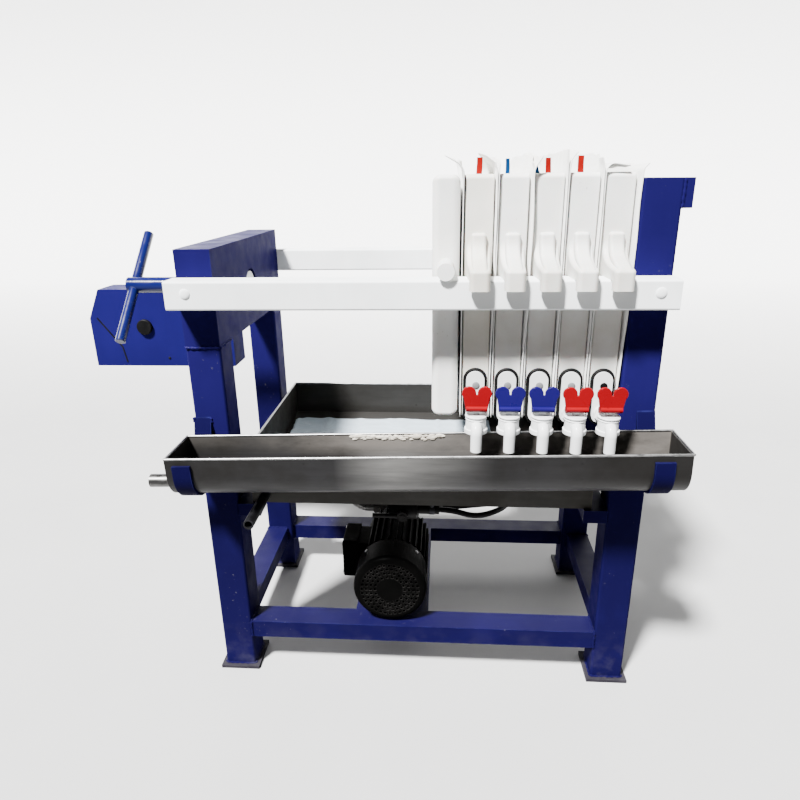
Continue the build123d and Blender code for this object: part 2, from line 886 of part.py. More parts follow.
def motor_disc(y, diameter, length):
    """Round piece on the motor's axis, from y backwards."""
    with BuildPart() as piece:
        with BuildSketch(facing(y + length)):
            with Locations((motor_x, motor_z)):
                Circle(diameter / 2)
        extrude(amount=length)
    return piece


# Finned motor body on its feet, bare of fins at the terminal box's seat on the left and over the feet
motor_back = motor_front + motor_length
shield_diameter = fan_cover_diameter - 2 * sheet_thick - 2 * seat_gap
bare_arcs = ((140, 220), (225, 315))
fin_angles = [a for a in range(0, 360, int(fin_step)) if not any(low < a < high for low, high in bare_arcs)]
fin_mid = motor_core / 2 + fin_height / 2 - fin_root
box_seat = motor_core / 2 + fin_height + box_seat_rise
motor_foot_y = motor_front + motor_length / 2
with BuildPart() as motor_body:
    add(motor_disc(motor_front, motor_core, motor_length).part)
    add(motor_disc(motor_front - shield_lip, shield_diameter, 2 * shield_lip).part)
    with BuildSketch(facing(motor_back - fin_end_gap)):
        for angle in fin_angles:
            fin_at = (motor_x + fin_mid * cos(radians(angle)), motor_z + fin_mid * sin(radians(angle)))
            with Locations(Location(fin_at, angle)):
                Rectangle(fin_height + 2 * fin_root, fin_width)
    extrude(amount=motor_length - 2 * fin_end_gap)
    add(motor_disc(motor_back - boss_root, bell_diameter, bell_face + boss_root).part)
    with BuildSketch(level(motor_z - motor_shaft_height)):
        with Locations((motor_x, motor_foot_y)):
            Rectangle(motor_foot_width, motor_foot_length)
    extrude(amount=motor_foot_thick)
    with BuildSketch(level(motor_z - motor_shaft_height)):
        with Locations((motor_x, motor_foot_y)):
            Rectangle(motor_foot_width / 2, motor_foot_length)
    extrude(amount=motor_shaft_height / 2)
    with BuildSketch(across(motor_x - box_seat)):
        with Locations((motor_foot_y, motor_z)):
            Rectangle(terminal_box_length - 2 * box_seat_inset, terminal_box_height - 2 * box_seat_inset)
    extrude(amount=box_seat - motor_core / 4)
save(motor_body, "motor_body")

with BuildPart() as motor_terminal_box:
    with BuildSketch(across(motor_x - box_seat - terminal_box_thick)):
        with Locations((motor_foot_y, motor_z)):
            RectangleRounded(terminal_box_length, terminal_box_height, terminal_box_round)
    extrude(amount=terminal_box_thick)
    fillet(motor_terminal_box.faces().sort_by(Axis.X)[0].edges(), terminal_box_edge)
save(motor_terminal_box, "motor_terminal_box")

# Pressed fan cover with rings of square holes in its face
cover_front = motor_front - fan_cover_length
with BuildPart() as motor_fan_cover:
    add(motor_disc(cover_front, fan_cover_diameter, fan_cover_length).part)
    fillet(motor_fan_cover.faces().sort_by(Axis.Y)[0].edges(), fan_cover_round)
    offset(amount=-sheet_thick, openings=motor_fan_cover.faces().sort_by(Axis.Y)[-1])
    with BuildSketch(facing(cover_front + 2 * sheet_thick)):
        with Locations((motor_x, motor_z)):
            for ring, holes in grille_rings:
                with PolarLocations(ring, holes):
                    Rectangle(grille_hole_out, grille_hole_round)
    extrude(amount=4 * sheet_thick, mode=Mode.SUBTRACT)
save(motor_fan_cover, "motor_fan_cover")

# Gear pump on the motor's bell: two gear bores one over the other, a port at each side
pump_front = motor_back + bell_length
port_z = motor_z + pump_gear_pitch / 2
port_y = pump_front + pump_length / 2
with BuildPart() as gear_pump:
    add(motor_disc(motor_back + bell_face, pump_neck, bell_length - bell_face).part)
    with BuildSketch(facing(pump_front + pump_length)):
        with Locations((motor_x, port_z)):
            SlotCenterToCenter(pump_gear_pitch, pump_gear_case, rotation=90)
    extrude(amount=pump_length)
    with BuildSketch(across(motor_x - pump_gear_case / 2 - pump_port_length)):
        with Locations((port_y, port_z)):
            Circle(pump_port / 2)
    extrude(amount=pump_gear_case + 2 * pump_port_length)
    with BuildSketch(across(motor_x + pump_gear_case / 2 + pump_port_length)):
        with Locations((port_y, port_z)):
            Circle(hose_tail_diameter / 2)
    extrude(amount=hose_tail_length)
save(gear_pump, "gear_pump")

# Feed pipe: from the pump's left port up, across under the tray, up behind the post, into the head
outlet_x = motor_x - pump_gear_case / 2 - pump_port_length
feed_up_x = outlet_x - feed_pipe_bend - feed_stub
feed_points = [
    (outlet_x, port_y, port_z),
    (feed_up_x, port_y, port_z),
    (feed_up_x, port_y, feed_run_z),
    (feed_riser_x, port_y, feed_run_z),
    (feed_riser_x, port_y, press_axis_z),
    (feed_riser_x, 0, press_axis_z),
    (feed_end_x, 0, press_axis_z),
]
feed_radii = 4 * [feed_pipe_bend] + [feed_end_run - feed_end_straight]
with BuildPart() as feed_pipe:
    with BuildLine() as feed_path:
        FilletPolyline(*[(frame_x + x, frame_y + y, z) for x, y, z in feed_points], radius=feed_radii)
    with BuildSketch(across(outlet_x)):
        with Locations((port_y, port_z)):
            Circle(feed_pipe_diameter / 2)
    sweep(path=feed_path.wires()[0])
save(feed_pipe, "feed_pipe")

# Valve hanging from the tray's floor by its neck, with a hose tail to the right
tray_underside = Plane(
    origin=(frame_x, frame_y + tray_front, tray_front_floor_z),
    x_dir=(1, 0, 0),
    z_dir=(0, -tray_slope, 1),
)
with BuildPart() as drain_valve:
    with BuildSketch(across(valve_x - valve_length / 2)):
        with Locations((valve_y, valve_axis_z)):
            Circle(valve_body / 2)
    extrude(amount=valve_length)
    with BuildSketch(level(valve_axis_z)):
        with Locations((valve_x, valve_y)):
            Circle(valve_neck / 2)
    extrude(amount=tray_rear_floor_z - valve_axis_z)
    split(bisect_by=tray_underside, keep=Keep.BOTTOM)
    with BuildSketch(across(valve_x + valve_length / 2)):
        with Locations((valve_y, valve_axis_z)):
            Circle(hose_tail_diameter / 2)
    extrude(amount=hose_tail_length)
    with BuildSketch(facing(valve_y - valve_body / 2 + boss_root)):
        with Locations((valve_x, valve_axis_z)):
            Circle(valve_stem / 2)
    extrude(amount=valve_stem_length + boss_root)
save(drain_valve, "drain_valve")

# Valve lever on the stem, lying along the valve towards the left
lever_y = valve_y - valve_body / 2 - valve_stem_length / 2
with BuildPart() as valve_lever:
    with BuildSketch(facing(lever_y + valve_boss_thick / 2)):
        with Locations((valve_x, valve_axis_z)):
            Circle(valve_stem)
    extrude(amount=valve_boss_thick)
    with BuildSketch(across(valve_x - valve_lever_length)):
        with Locations((lever_y, valve_axis_z)):
            Circle(valve_lever_diameter / 2)
    extrude(amount=valve_lever_length)
    with BuildSketch(facing(lever_y + valve_boss_thick)):
        with Locations((valve_x, valve_axis_z)):
            Circle(valve_stem / 2 + shaft_gap)
    extrude(amount=2 * valve_boss_thick, mode=Mode.SUBTRACT)
save(valve_lever, "valve_lever")

# Hose from the valve's tail to the pump's tail, sagging under the tray
hose_start = valve_x + valve_length / 2 + hose_tail_length
hose_end = motor_x + pump_gear_case / 2 + pump_port_length + hose_tail_length
hose_points = [
    (hose_start, valve_y, valve_axis_z),
    (hose_start + 40, valve_y, valve_axis_z),
    (hose_start + 82, valve_y + 26, valve_axis_z - 6),
    (hose_start + 102, valve_y + 70, valve_axis_z - 22),
    (hose_start + 108, valve_y + 114, valve_axis_z - 44),
    (hose_start + 104, valve_y + 150, valve_axis_z - 68),
    (hose_start + 88, port_y - 30, port_z + 24),
    (hose_end + 54, port_y - 8, port_z + 8),
    (hose_end + 26, port_y, port_z),
    (hose_end, port_y, port_z),
]
hose_runs = [(Vector(*b) - Vector(*a)) for a, b in zip(hose_points, hose_points[1:])]
hose_turns = [radians(a.get_angle(b)) for a, b in zip(hose_runs, hose_runs[1:])]
hose_radii = [
    0.45 * min(a.length, b.length) / tan(turn / 2) for a, b, turn in zip(hose_runs, hose_runs[1:], hose_turns)
]
with BuildPart() as drain_hose:
    with BuildLine() as hose_path:
        FilletPolyline(*[(frame_x + x, frame_y + y, z) for x, y, z in hose_points], radius=hose_radii)
    with BuildSketch(across(hose_start)):
        with Locations((valve_y, valve_axis_z)):
            Circle(hose_diameter / 2)
    sweep(path=hose_path.wires()[0])
save(drain_hose, "drain_hose")
print("hose radii", [round(r, 1) for r in hose_radii], "turns", [round(t * 180 / pi) for t in hose_turns])
print("hose length", round(hose_path.wires()[0].length, 1))
print("hose volume ratio", drain_hose.part.volume / (pi * hose_diameter**2 / 4 * hose_path.wires()[0].length))

# Switch box on an arm from the crosshead
with BuildPart() as switch_box:
    with BuildSketch(facing(box_front + box_depth)):
        with BuildLine():
            Polyline(
                (box_right, box_top),
                (box_left + box_shoulder, box_top),
                (box_left, box_tip_z),
                (box_left, box_bottom),
                (box_right, box_bottom),
                close=True,
            )
        make_face()
    extrude(amount=box_depth)
    with BuildSketch(across(box_right)):
        with Locations((box_front + box_depth / 2, box_top - box_arm_height / 2)):
            Rectangle(box_arm_depth, box_arm_height)
    extrude(amount=-frame_width / 2 - box_right)
save(switch_box, "switch_box")

with BuildPart() as switch_knob:
    with BuildSketch(facing(box_front)):
        with Locations((knob_x, knob_z)):
            Circle(knob_diameter / 2)
    extrude(amount=knob_thick)
    chamfer(switch_knob.faces().sort_by(Axis.Y)[0].edges(), knob_thick / 4)
save(switch_knob, "switch_knob")
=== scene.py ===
"""Dresses the plate filter press: finishes, filter cloths, hose, seals, bolts, welds and the studio around it."""
import json
import math

import bmesh
import bpy
from mathutils import Matrix, Vector, noise


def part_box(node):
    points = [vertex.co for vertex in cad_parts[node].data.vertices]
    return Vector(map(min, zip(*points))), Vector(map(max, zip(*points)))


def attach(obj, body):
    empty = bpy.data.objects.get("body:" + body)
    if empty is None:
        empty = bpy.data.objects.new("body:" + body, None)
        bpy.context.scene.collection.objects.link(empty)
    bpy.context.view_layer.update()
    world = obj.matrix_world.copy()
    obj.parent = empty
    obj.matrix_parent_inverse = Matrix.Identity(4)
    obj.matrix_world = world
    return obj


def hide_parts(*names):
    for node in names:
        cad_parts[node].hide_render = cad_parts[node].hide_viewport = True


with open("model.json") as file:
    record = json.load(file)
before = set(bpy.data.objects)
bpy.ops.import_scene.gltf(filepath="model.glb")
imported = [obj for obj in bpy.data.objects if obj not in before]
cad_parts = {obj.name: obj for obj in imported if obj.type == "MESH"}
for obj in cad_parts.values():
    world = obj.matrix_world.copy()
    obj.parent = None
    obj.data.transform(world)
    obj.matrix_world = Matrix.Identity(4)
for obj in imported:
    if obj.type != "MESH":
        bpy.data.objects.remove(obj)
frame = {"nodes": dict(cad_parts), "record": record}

NOISE_SEED = 7
noise.seed_set(NOISE_SEED)

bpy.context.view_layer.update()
nodes = frame["nodes"]
slot_of = {part["node"]: part["material_slot"] for part in frame["record"]["subparts"]}
MM = 0.001
PLATE_COUNT = 5
FRONT = Vector((0, -1, 0))
UP = Vector((0, 0, 1))
RIGHT = Vector((1, 0, 0))


# Finishes

EDGE_TURN = (0.985, 0.86)
UPWARD = (0.75, 0.97)


class Finish:
    """One material's node tree, with short ways to add its textures, mixes and bumps."""

    def __init__(self, name, constants):
        self.material = bpy.data.materials.new(name)
        self.material.use_nodes = True
        self.tree = self.material.node_tree
        self.shader = self.tree.nodes["Principled BSDF"]
        self.place = self.add("ShaderNodeTexCoord").outputs["Object"]
        self.normal = None
        for socket, value in constants.items():
            self.shader.inputs[socket].default_value = value

    def add(self, kind):
        return self.tree.nodes.new(kind)

    def feed(self, source, socket):
        """Link a node's output, or set a plain value."""
        if isinstance(source, bpy.types.NodeSocket):
            self.tree.links.new(source, socket)
        else:
            socket.default_value = source

    def stretched(self, stretch):
        mapping = self.add("ShaderNodeMapping")
        mapping.inputs["Scale"].default_value = stretch
        self.feed(self.place, mapping.inputs["Vector"])
        return mapping.outputs["Vector"]

    def noise(self, scale, detail=4.0, roughness=0.55, stretch=(1, 1, 1)):
        texture = self.add("ShaderNodeTexNoise")
        texture.inputs["Scale"].default_value = scale
        texture.inputs["Detail"].default_value = detail
        texture.inputs["Roughness"].default_value = roughness
        self.feed(self.stretched(stretch), texture.inputs["Vector"])
        return texture.outputs["Fac"]

    def waves(self, scale, direction, distortion=0.0):
        texture = self.add("ShaderNodeTexWave")
        texture.bands_direction = direction
        texture.inputs["Scale"].default_value = scale
        texture.inputs["Distortion"].default_value = distortion
        self.feed(self.place, texture.inputs["Vector"])
        return texture.outputs["Fac"]

    def cells(self, scale, stretch=(1, 1, 1)):
        texture = self.add("ShaderNodeTexVoronoi")
        texture.inputs["Scale"].default_value = scale
        self.feed(self.stretched(stretch), texture.inputs["Vector"])
        return texture.outputs["Distance"]

    def along(self, axis):
        parts = self.add("ShaderNodeSeparateXYZ")
        self.feed(self.place, parts.inputs["Vector"])
        return parts.outputs[axis]

    def span(self, value, low, high, first=0.0, last=1.0):
        """Value between low and high spread over first to last."""
        node = self.add("ShaderNodeMapRange")
        self.feed(value, node.inputs["Value"])
        node.inputs["From Min"].default_value = low
        node.inputs["From Max"].default_value = high
        node.inputs["To Min"].default_value = first
        node.inputs["To Max"].default_value = last
        return node.outputs["Result"]

    def times(self, first, second):
        node = self.add("ShaderNodeMath")
        node.operation = "MULTIPLY"
        self.feed(first, node.inputs[0])
        self.feed(second, node.inputs[1])
        return node.outputs[0]

    def mix(self, factor, first, second):
        node = self.add("ShaderNodeMix")
        node.data_type = "RGBA"
        self.feed(factor, node.inputs[0])
        self.feed(first if isinstance(first, bpy.types.NodeSocket) else (*first, 1), node.inputs[6])
        self.feed(second if isinstance(second, bpy.types.NodeSocket) else (*second, 1), node.inputs[7])
        return node.outputs[2]

    def edges(self, radius):
        """One along sharp edges, nought on flat faces."""
        rounded = self.add("ShaderNodeBevel")
        rounded.samples = 4
        rounded.inputs["Radius"].default_value = radius
        product = self.add("ShaderNodeVectorMath")
        product.operation = "DOT_PRODUCT"
        self.feed(rounded.outputs["Normal"], product.inputs[0])
        self.feed(self.add("ShaderNodeNewGeometry").outputs["Normal"], product.inputs[1])
        return self.span(product.outputs["Value"], *EDGE_TURN)

    def facing_up(self, first, last):
        """First on upright faces, last on faces that look up."""
        parts = self.add("ShaderNodeSeparateXYZ")
        self.feed(self.add("ShaderNodeTexCoord").outputs["Normal"], parts.inputs["Vector"])
        return self.span(parts.outputs["Z"], *UPWARD, first, last)

    def bump(self, height, distance, strength):
        node = self.add("ShaderNodeBump")
        node.inputs["Distance"].default_value = distance
        node.inputs["Strength"].default_value = strength
        self.feed(height, node.inputs["Height"])
        if self.normal is not None:
            self.feed(self.normal, node.inputs["Normal"])
        self.normal = node.outputs["Normal"]

    def finish(self, colour, roughness):
        self.feed(colour, self.shader.inputs["Base Color"])
        self.feed(roughness, self.shader.inputs["Roughness"])
        if self.normal is not None:
            self.feed(self.normal, self.shader.inputs["Normal"])
        return self.material


def shade(colour, factor):
    """Colour made darker or lighter."""
    return tuple(min(1.0, channel * factor) for channel in colour)


UPWARD_SHINE = 0.06
LOW_SHADE_HEIGHTS = (0.5, 0.3)
DUST_HEIGHTS = (0.1, 0.0)


def enamel(name, colour, chip, rubbed, dust, wear=0.6, gloss=0.5, shine=0.008):
    """Brushed-on enamel: uneven tone, chips, rubbed edges, an oily top, painted shade low down and dusty near the
    floor.
    """
    f = Finish(name, {"Specular IOR Level": shine, "Coat Weight": 0.4 * shine, "Coat Roughness": 0.14})
    tone = f.mix(f.span(f.noise(6.5, 4), 0.3, 0.72), shade(colour, 0.86), shade(colour, 1.08))
    streaks = f.span(f.noise(14, 5, 0.6, (1, 1, 0.16)), 0.52, 0.78, 0, 0.3)
    tone = f.mix(streaks, tone, shade(colour, 0.6))
    # Painted shade: darker in patches from half a metre down towards the floor.
    low_shade = f.times(f.span(f.along("Z"), *LOW_SHADE_HEIGHTS, 0, 0.8), f.span(f.noise(9, 4), 0.2, 0.55, 0.6, 1.0))
    tone = f.mix(low_shade, tone, shade(colour, 0.32))
    chips = f.times(f.span(f.noise(150, 5, 0.62), 0.66, 0.7), f.span(f.noise(11, 2), 0.52, 0.66))
    tone = f.mix(f.times(chips, wear), tone, chip)
    rub = f.times(f.edges(2.2 * MM), f.span(f.noise(45, 4), 0.36, 0.66, 0, wear))
    tone = f.mix(rub, tone, rubbed)
    low = f.times(f.span(f.along("Z"), *DUST_HEIGHTS, 0, 0.35), f.span(f.noise(34, 5), 0.45, 0.75))
    tone = f.mix(low, tone, dust)
    f.feed(f.facing_up(shine, max(shine, UPWARD_SHINE)), f.shader.inputs["Specular IOR Level"])
    f.bump(f.noise(260, 2), 0.5 * MM, 0.14)
    f.bump(f.noise(28, 3, 0.5, (1, 1, 0.4)), 1.5 * MM, 0.16)
    f.bump(chips, 0.3 * MM, 0.35)
    return f.finish(tone, f.span(f.noise(34, 5), 0.3, 0.75, gloss - 0.07, gloss + 0.16))


PAINTED_LIGHT_TONE = (0.24, 0.22, 0.20)
PAINTED_LIGHT_GROWS = (-0.12, 0.03)
PAINTED_LIGHT_DEPTHS = (0.046, 0.026)


def rolled_steel(name, colour, film, bright, grain, roughness, painted_reflection_span, painted_light=None):
    """Rolled stainless sheet: fine grain, dull film in patches, a painted reflection in a window along x, painted
    light in a band on a rear wall.
    """
    f = Finish(name, {"Metallic": 0.6, "Anisotropic": 0.3, "Specular IOR Level": 0.08})
    tone = f.mix(f.span(f.noise(60, 4, 0.6, grain), 0.3, 0.7), shade(colour, 0.82), shade(colour, 1.15))
    tone = f.mix(f.span(f.noise(9, 5, 0.62), 0.42, 0.66, 0, 0.8), tone, film)
    # Painted reflection: a lighter patch in a window along x.
    start, end = painted_reflection_span
    x = f.along("X")
    window = f.times(f.span(x, start - 0.03, start + 0.04), f.span(x, end + 0.08, end - 0.05))
    painted_reflection = f.times(f.span(f.noise(16, 6, 0.65, grain), 0.36, 0.62, 0.15, 1), f.times(window, 0.85))
    tone = f.mix(painted_reflection, tone, bright)
    tone = f.mix(f.span(x, end + 0.1, end + 0.3, 0, 0.7), tone, film)
    # Painted light: a paler band in patches along the top of the rear wall's inside, stronger towards the right.
    if painted_light:
        rear, rim = painted_light
        upper = f.span(f.along("Z"), *(rim - depth for depth in PAINTED_LIGHT_DEPTHS))
        wall = f.times(f.span(f.along("Y"), rear - 0.006, rear - 0.003), upper)
        patches = f.span(f.noise(30, 5, 0.6, (0.4, 1, 1)), 0.3, 0.6, 0.35, 0.95)
        rich = f.times(f.span(x, *PAINTED_LIGHT_GROWS, 0.25, 1), patches)
        tone = f.mix(f.times(wall, rich), tone, PAINTED_LIGHT_TONE)
    spots = f.span(f.cells(38), 0.1, 0.03, 0, 0.45)
    tone = f.mix(f.times(spots, f.span(f.noise(20, 2), 0.5, 0.6)), tone, shade(film, 0.5))
    tone = f.mix(f.times(f.edges(1.2 * MM), 0.5), tone, bright)
    f.bump(f.noise(240, 3, 0.6, grain), 0.25 * MM, 0.25)
    f.bump(f.noise(7, 2), 4 * MM, 0.18)
    return f.finish(tone, f.span(f.noise(26, 5, 0.6, grain), 0.28, 0.75, roughness - 0.1, roughness + 0.16))


def turned_metal(name, colour, grime, roughness):
    """Turned or drawn metal with grime in patches."""
    f = Finish(name, {"Metallic": 1.0})
    tone = f.mix(f.span(f.noise(40, 5), 0.3, 0.72), shade(colour, 0.8), shade(colour, 1.12))
    tone = f.mix(f.span(f.noise(70, 6, 0.65), 0.5, 0.68, 0, 0.7), tone, grime)
    f.bump(f.noise(420, 3), 0.2 * MM, 0.1)
    return f.finish(tone, f.span(f.noise(90, 4), 0.3, 0.7, roughness - 0.08, roughness + 0.14))


GRIME_AND_SHADE = (0.40, 0.37, 0.31)
GRIME_AND_SHADE_FADES = (0.735, 0.66)
GRIME_AND_SHADE_ENDS = (0.48, 0.56)


def moulded(name, colour, stain, stain_amount, roughness, constants, dirt_and_shade=0.0):
    """Moulded plastic: flow marks, sink ripples, grey-yellow stains, and a band of grime and painted shade at the
    height of the rail and the plates' arms.
    """
    f = Finish(name, constants)
    tone = f.mix(f.span(f.noise(18, 3), 0.3, 0.72), shade(colour, 0.93), shade(colour, 1.04))
    flow = f.span(f.noise(12, 5, 0.6, (1, 1, 0.25)), 0.5, 0.76, 0, 0.4)
    tone = f.mix(f.times(flow, stain_amount), tone, stain)
    specks = f.times(f.span(f.noise(190, 5, 0.65), 0.64, 0.72), f.span(f.noise(15, 2), 0.5, 0.64))
    tone = f.mix(f.times(specks, stain_amount), tone, shade(stain, 0.45))
    # Partly grime, partly painted shade of the rail: a warm darker band in patches.
    if dirt_and_shade:
        band = f.times(f.span(f.along("Z"), *GRIME_AND_SHADE_FADES), f.span(f.along("Z"), *GRIME_AND_SHADE_ENDS))
        patches = f.span(f.noise(15, 5, 0.6), 0.3, 0.66, 0.3 * dirt_and_shade, dirt_and_shade)
        tone = f.mix(f.times(band, patches), tone, GRIME_AND_SHADE)
    f.bump(f.noise(330, 2), 0.3 * MM, 0.12)
    f.bump(f.noise(24, 2), 2 * MM, 0.1)
    return f.finish(tone, f.span(f.noise(42, 4), 0.3, 0.72, roughness - 0.06, roughness + 0.1))


WAVE_PERIOD = 6.3


def woven(name, colour, stain, stain_amount, thread):
    """Plain-woven cloth: crossing threads, soft sheen and oil stains."""
    f = Finish(name, {"Sheen Weight": 0.35, "Sheen Roughness": 0.5, "Specular IOR Level": 0.25})
    pitch = 1 / (WAVE_PERIOD * thread)
    weft = f.waves(pitch, "Z", 0.3)
    warp = f.times(f.waves(pitch, "Y", 0.3), f.waves(pitch, "X", 0.3))
    weave = f.times(f.span(weft, 0, 1, 0.45, 1), f.span(warp, 0, 1, 0.45, 1))
    tone = f.mix(f.span(weave, 0.2, 0.9), shade(colour, 0.86), shade(colour, 1.04))
    tone = f.mix(f.span(f.noise(13, 5, 0.6), 0.48, 0.74, 0, stain_amount), tone, stain)
    f.bump(weave, 0.35 * MM, 0.5)
    f.bump(f.noise(60, 4), 1.2 * MM, 0.35)
    return f.finish(tone, f.span(f.noise(80, 3), 0.3, 0.7, 0.8, 0.95))


def rubbery(name, colour, bloom, roughness):
    """Rubber or coarse black casting with a pale bloom."""
    f = Finish(name, {"Specular IOR Level": 0.06})
    tone = f.mix(f.span(f.noise(35, 5), 0.35, 0.75), colour, bloom)
    f.bump(f.noise(300, 4), 0.3 * MM, 0.4)
    return f.finish(tone, f.span(f.noise(50, 4), 0.3, 0.7, roughness - 0.1, roughness + 0.1))


def black_enamel(name, colour, dust, rubbed, roughness):
    """Black enamel on cast or pressed metal, oily in places, dusty on top and rubbed at its edges."""
    f = Finish(name, {"Specular IOR Level": 0.004})
    tone = f.mix(f.span(f.noise(16, 5), 0.4, 0.75, 0, 0.6), colour, dust)
    rub = f.times(f.edges(1.5 * MM), f.span(f.noise(60, 4), 0.35, 0.65, 0, 0.7))
    tone = f.mix(rub, tone, rubbed)
    f.bump(f.noise(180, 4), 0.6 * MM, 0.3)
    return f.finish(tone, f.span(f.noise(24, 5), 0.3, 0.72, roughness - 0.12, roughness + 0.15))


BLUE = (0.0066, 0.0041, 0.048)
BLUE_RUBBED = (0.014, 0.015, 0.08)
PRIMER = (0.06, 0.06, 0.075)
FLOOR_DUST = (0.05, 0.048, 0.065)
CREAM_STAIN = (0.60, 0.55, 0.45)
gloss_plastic = {"Coat Weight": 0.06, "Coat Roughness": 0.12, "Specular IOR Level": 0.2}
lever_plastic = {"Coat Weight": 0.02, "Coat Roughness": 0.12, "Specular IOR Level": 0.08}
dull_plastic = {"Subsurface Weight": 0.12, "Subsurface Scale": 0.005, "IOR": 1.49}

DIRT_AND_SHADE_AMOUNT = 0.6
gutter_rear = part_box("collecting_gutter")[1]
GUTTER_PAINTED_LIGHT = (gutter_rear.y, gutter_rear.z)

# What each kind of finish is given, by material slot
ENAMELS = {
    "frame_paint": (BLUE, PRIMER, BLUE_RUBBED, FLOOR_DUST),
    "box_paint": ((0.0072, 0.0052, 0.064), PRIMER, (0.010, 0.018, 0.09), FLOOR_DUST, 0.35),
    "screw_paint": ((0.0030, 0.0050, 0.058), PRIMER, (0.05, 0.06, 0.14), FLOOR_DUST, 0.9, 0.2, 0.3),
    "foot_steel": ((0.032, 0.029, 0.038), (0.06, 0.056, 0.064), (0.065, 0.062, 0.07), (0.055, 0.052, 0.058)),
    "rail_paint": ((0.78, 0.80, 0.81), (0.42, 0.42, 0.42), (0.85, 0.87, 0.88), FLOOR_DUST, 0.4),
}
SHEET_STEELS = {
    "tray_steel": (
        (0.032, 0.031, 0.029), (0.020, 0.018, 0.016), (0.044, 0.042, 0.040), (0.12, 1, 1), 0.5, (0.0, 0.2),
    ),
    "gutter_steel": (
        (0.027, 0.0265, 0.0275), (0.015, 0.014, 0.013), (0.21, 0.207, 0.2), (0.1, 1, 1), 0.42, (0.05, 0.15),
        GUTTER_PAINTED_LIGHT,
    ),
}
METALS = {
    "pipe_steel": ((0.11, 0.108, 0.106), (0.05, 0.047, 0.044), 0.3),
    "dark_pipe": ((0.028, 0.028, 0.032), (0.01, 0.01, 0.01), 0.5),
    "nut_bronze": ((0.58, 0.42, 0.20), (0.16, 0.11, 0.06), 0.32),
    "pad_steel": ((0.26, 0.26, 0.265), (0.10, 0.095, 0.09), 0.34),
}
BLACK_ENAMELS = {
    "motor_paint": ((0.0007, 0.0007, 0.0008), (0.0018, 0.0017, 0.0016), (0.008, 0.008, 0.008), 0.42),
    "fan_cover": ((0.0008, 0.0008, 0.0008), (0.0020, 0.0019, 0.0018), (0.026, 0.025, 0.024), 0.38),
}
RUBBERS = {
    "pump_iron": ((0.035, 0.034, 0.034), (0.075, 0.068, 0.06), 0.6),
    "valve_black": ((0.004, 0.004, 0.0044), (0.014, 0.013, 0.0125), 0.42),
    "hose_rubber": ((0.0022, 0.0022, 0.0024), (0.007, 0.007, 0.007), 0.5),
    "knob_black": ((0.002, 0.002, 0.0022), (0.006, 0.006, 0.006), 0.5),
}
PLASTICS = {
    "plate_plastic": ((0.70, 0.705, 0.695), CREAM_STAIN, 0.7, 0.48, dull_plastic),
    "tap_plastic": ((0.62, 0.63, 0.635), CREAM_STAIN, 0.3, 0.26, gloss_plastic),
    "tap_red": ((0.158, 0.0, 0.003), (0.09, 0.0, 0.002), 0.5, 0.28, lever_plastic),
    "tap_blue": ((0.0068, 0.0030, 0.063), (0.004, 0.002, 0.04), 0.5, 0.28, lever_plastic),
}
CLOTHS = {
    "cloth": ((0.84, 0.84, 0.82), CREAM_STAIN, 0.3, 0.8 * MM),
}
KINDS = (
    (enamel, ENAMELS), (rolled_steel, SHEET_STEELS), (turned_metal, METALS), (black_enamel, BLACK_ENAMELS),
    (rubbery, RUBBERS), (moulded, PLASTICS), (woven, CLOTHS),
)
finishes = {slot: make(slot, *given) for make, kind in KINDS for slot, given in kind.items()}
# Gutter hooks: the frame blue at half strength, painted shade.
hook_shaded_paint = enamel("hook_shaded_paint", shade(BLUE, 0.5), PRIMER, BLUE_RUBBED, FLOOR_DUST)
aged_shaded_plastic = moulded("aged_shaded_plastic", (0.64, 0.625, 0.575), CREAM_STAIN, 0.9, 0.48, dull_plastic, DIRT_AND_SHADE_AMOUNT)
used_shaded_plastic = moulded("used_shaded_plastic", *PLASTICS["plate_plastic"], DIRT_AND_SHADE_AMOUNT)
own_finishes = {f"filter_plate_{number}": used_shaded_plastic for number in range(2, PLATE_COUNT + 1)}
own_finishes |= {"gutter_hooks": hook_shaded_paint, "filter_plate_1": aged_shaded_plastic}
for name, node in nodes.items():
    for place in node.material_slots:
        place.material = own_finishes.get(name, finishes[slot_of[name]])


# Shapes

SHARP_EDGE = math.radians(38)


def piece(name, bm, body, slot, finish=None, sharp=SHARP_EDGE):
    """Turn a mesh under construction into a piece that rides on a body."""
    mesh = bpy.data.meshes.new(name)
    bmesh.ops.recalc_face_normals(bm, faces=bm.faces)
    bm.to_mesh(mesh)
    bm.free()
    mesh.shade_smooth()
    mesh.set_sharp_from_angle(angle=sharp)
    mesh.materials.append(finish or finishes[slot])
    made = bpy.data.objects.new(name, mesh)
    bpy.context.scene.collection.objects.link(made)
    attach(made, body)
    return made


def turning(axis):
    """Matrix that turns +Z to an axis."""
    return UP.rotation_difference(axis).to_matrix().to_4x4()


def join(bm, rings, closed=False):
    """Walls between rings of points, and a cap at each end unless the last ring meets the first."""
    pairs = list(zip(rings, rings[1:]))
    if closed:
        pairs.append((rings[-1], rings[0]))
    for lower, upper in pairs:
        count = len(lower)
        for step in range(count):
            other = (step + 1) % count
            bm.faces.new((lower[step], lower[other], upper[other], upper[step]))
    if not closed:
        bm.faces.new(rings[0])
        bm.faces.new(rings[-1])


def weave(bm, grid):
    """Faces between the rows of a grid of points."""
    for lower, upper in zip(grid, grid[1:]):
        for column in range(len(lower) - 1):
            bm.faces.new((lower[column], lower[column + 1], upper[column + 1], upper[column]))


def circle(centre, radius, steps):
    """Points round a level circle."""
    angles = [math.tau * step / steps for step in range(steps)]
    return [centre + Vector((math.cos(angle), math.sin(angle), 0)) * radius for angle in angles]


def ripple(amount, *place):
    """Smooth wander of up to an amount, the same at the same place."""
    return noise.noise(Vector(place)) * amount


